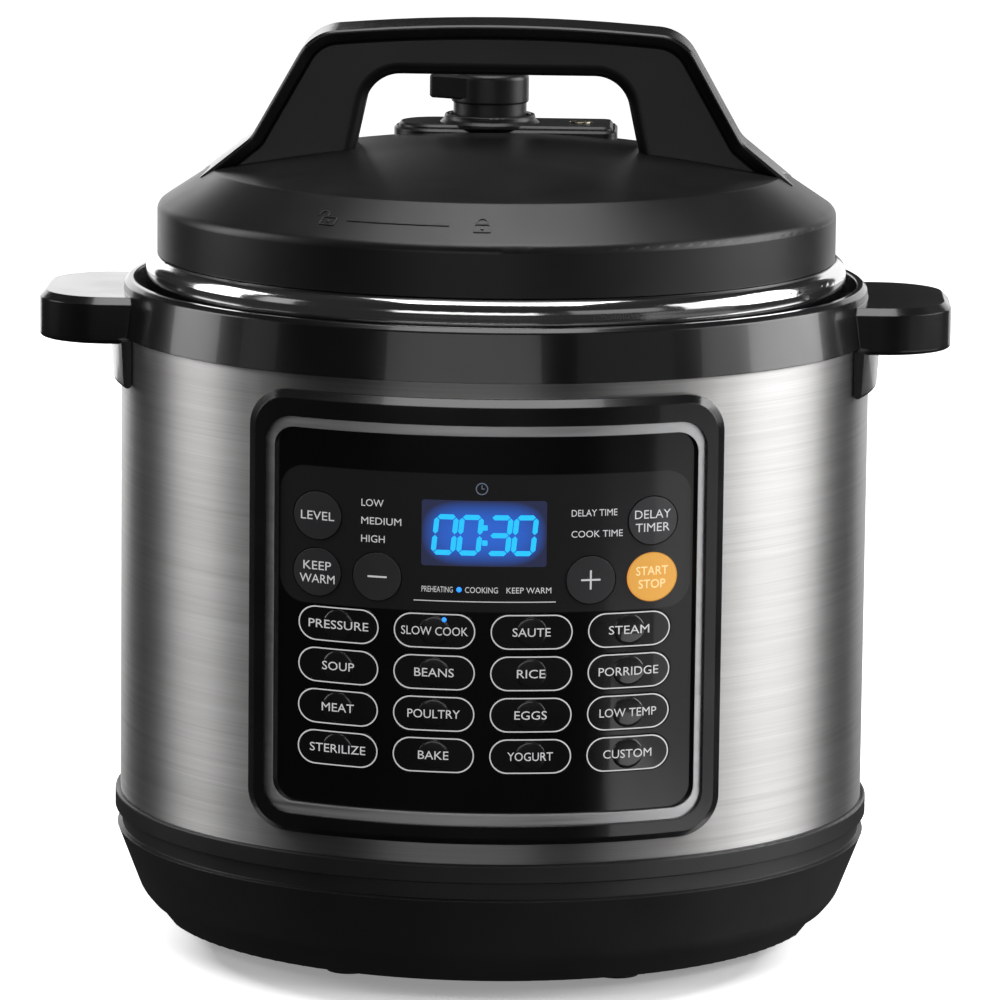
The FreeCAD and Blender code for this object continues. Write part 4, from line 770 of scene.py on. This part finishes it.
# The pool of painted shadow on the floor round the object: its border's distance from the middle, how wide
# it fades, its stretch to front and back, and how much darker it gets.
POOL_EDGE, POOL_FADE, POOL_STRETCH, POOL_DARK = 0.134, 0.034, 0.05, 0.74

LAMPS = {
    # name: azimuth, elevation, distance, width, height, watts
    "left_wall": (-99, 20, 1.5, 0.62, 1.0, 6.4),
    "right_wall": (98, 20, 1.5, 0.92, 1.0, 14.0),
    "right_front": (73, 20, 1.7, 0.55, 1.0, 2.8),
    "right_soft": (40, 14, 1.9, 1.0, 0.7, 0.5),
    "left_front": (-72, 13, 1.7, 0.4, 0.8, 0.4),
    "front_band": (-8, 5, 3.0, 2.5, 0.5, 6.4),
    "overhead": (0, 88, 1.9, 1.3, 1.3, 22),
    "left_rim": (-159, 8, 1.8, 0.9, 1.0, 4.6),
    "right_rim": (157, 8, 1.8, 0.8, 1.0, 2.8),
    "table_bounce": (72, -18, 2.0, 2.8, 0.3, 4.5),
    "panel_bounce": (66, -9, 2.0, 1.2, 0.2, 0.5),
}
LAMPS_AIM = Vector((0, 0, 0.15))

# The camera stands where the body's axis, rims and panel edges line up with the view wanted.
CAMERA_DISTANCE, CAMERA_HEIGHT = 2.4834, 0.5724
CAMERA_AZIMUTH, CAMERA_PAN, CAMERA_PITCH, CAMERA_ROLL = 1.3, 0.0556, 9.48, 0.66
CAMERA_LENS, CAMERA_SENSOR = 244.2, 36.0
CAMERA_NEAR, CAMERA_FAR = 0.05, 60.0


def white_light():
    """A plain white glow for the surround."""
    white = bpy.data.materials.new("surround_white")
    white.use_nodes = True
    tree = white.node_tree
    tree.nodes.clear()
    glow = tree.nodes.new("ShaderNodeEmission")
    out = tree.nodes.new("ShaderNodeOutputMaterial")
    tree.links.new(glow.outputs[0], out.inputs[0])
    return white


def paper_with_painted_shadow():
    """White paper with a painted shadow: dimmer in a soft pool close round the object, evenly white further
    away.
    """
    paper = Finish("paper", roughness=0.8, glow=(1.0, 1.0, 1.0), specular=0.1)
    x, y, _ = paper.axes()
    # The painted shadow: the paper's glow is dimmed in a pool round the object, darker towards it.
    past = paper.math("MAXIMUM", paper.subtract(paper.math("ABSOLUTE", y), POOL_STRETCH), 0.0)
    away = paper.math("SQRT", paper.add(paper.multiply(x, x), paper.multiply(past, past)))
    depth = paper.spread(away, 0.0, 1.0, POOL_EDGE, POOL_EDGE - POOL_FADE)
    paper.paint(paper.tint(paper.noise(900.0), (0.93, 0.93, 0.93), (0.96, 0.96, 0.96)))
    shade = paper.multiply(POOL_DARK, paper.multiply(depth, depth))
    paper.feed(paper.shader.inputs["Emission Strength"], paper.subtract(1.0, shade))
    return paper.material


def studio():
    """A pale floor with a painted shadow round the object, turning into a white surround, both seen only by
    the camera, and a dim room.
    """
    world = bpy.data.worlds.new("room")
    bpy.context.scene.world = world
    world.use_nodes = True
    background = world.node_tree.nodes["Background"].inputs
    background["Color"].default_value = (1.0, 1.0, 1.0, 1.0)
    background["Strength"].default_value = ROOM_GLOW

    bpy.ops.mesh.primitive_circle_add(vertices=128, radius=FLOOR_RADIUS, fill_type="NGON",
                                      location=(0, 0, FLOOR_Z))
    floor = bpy.context.object
    floor.name = "floor"
    floor.data.materials.append(paper_with_painted_shadow())
    bpy.ops.mesh.primitive_uv_sphere_add(segments=48, ring_count=24, radius=SURROUND_RADIUS,
                                         location=(0, 0, 0))
    surround = bpy.context.object
    surround.name = "surround"
    surround.data.materials.append(white_light())
    for piece in (floor, surround):
        piece.visible_diffuse = False
        piece.visible_glossy = False
        piece.visible_transmission = False
        piece.visible_shadow = False


def lights():
    """Rectangular soft lamps at azimuths from the front, aimed at the object."""
    for name, (azimuth, elevation, distance, width, height, watts) in LAMPS.items():
        light = bpy.data.lights.new(name, "AREA")
        light.shape = "RECTANGLE"
        light.size, light.size_y = width, height
        light.energy = watts
        holder = bpy.data.objects.new(name, light)
        turn, rise = math.radians(azimuth), math.radians(elevation)
        away = Vector((math.sin(turn) * math.cos(rise), -math.cos(turn) * math.cos(rise), math.sin(rise)))
        holder.location = LAMPS_AIM + away * distance
        holder.rotation_mode = "QUATERNION"
        holder.rotation_quaternion = away.to_track_quat("Z", "Y")
        holder.visible_camera = False
        bpy.context.scene.collection.objects.link(holder)


def camera():
    """The camera at the wanted view: set up straight in front, then turned round the object."""
    pan, pitch, roll = (math.radians(angle) for angle in (CAMERA_PAN, CAMERA_PITCH, CAMERA_ROLL))
    ahead = Vector((math.sin(pan) * math.cos(pitch), math.cos(pan) * math.cos(pitch), -math.sin(pitch)))
    right = Vector((math.cos(pan), -math.sin(pan), 0))
    up = right.cross(ahead)
    side = right * math.cos(roll) + up * math.sin(roll)
    top = up * math.cos(roll) - right * math.sin(roll)
    matrix = Matrix((side, top, -ahead)).transposed().to_4x4()
    matrix.translation = Vector((0, -CAMERA_DISTANCE, CAMERA_HEIGHT))
    data = bpy.data.cameras.new("camera")
    data.sensor_width = CAMERA_SENSOR
    data.lens = CAMERA_LENS
    data.clip_start, data.clip_end = CAMERA_NEAR, CAMERA_FAR
    holder = bpy.data.objects.new("camera", data)
    holder.matrix_world = Matrix.Rotation(math.radians(CAMERA_AZIMUTH), 4, "Z") @ matrix
    bpy.context.scene.collection.objects.link(holder)
    bpy.context.scene.camera = holder


def main():
    bpy.context.scene.view_settings.view_transform = "Standard"
    camera()
    studio()
    lights()
    dress_frame()
    print_preset_keys()
    print_round_keys()
    light_display()
    print_panel()
    mark_lid()


main()
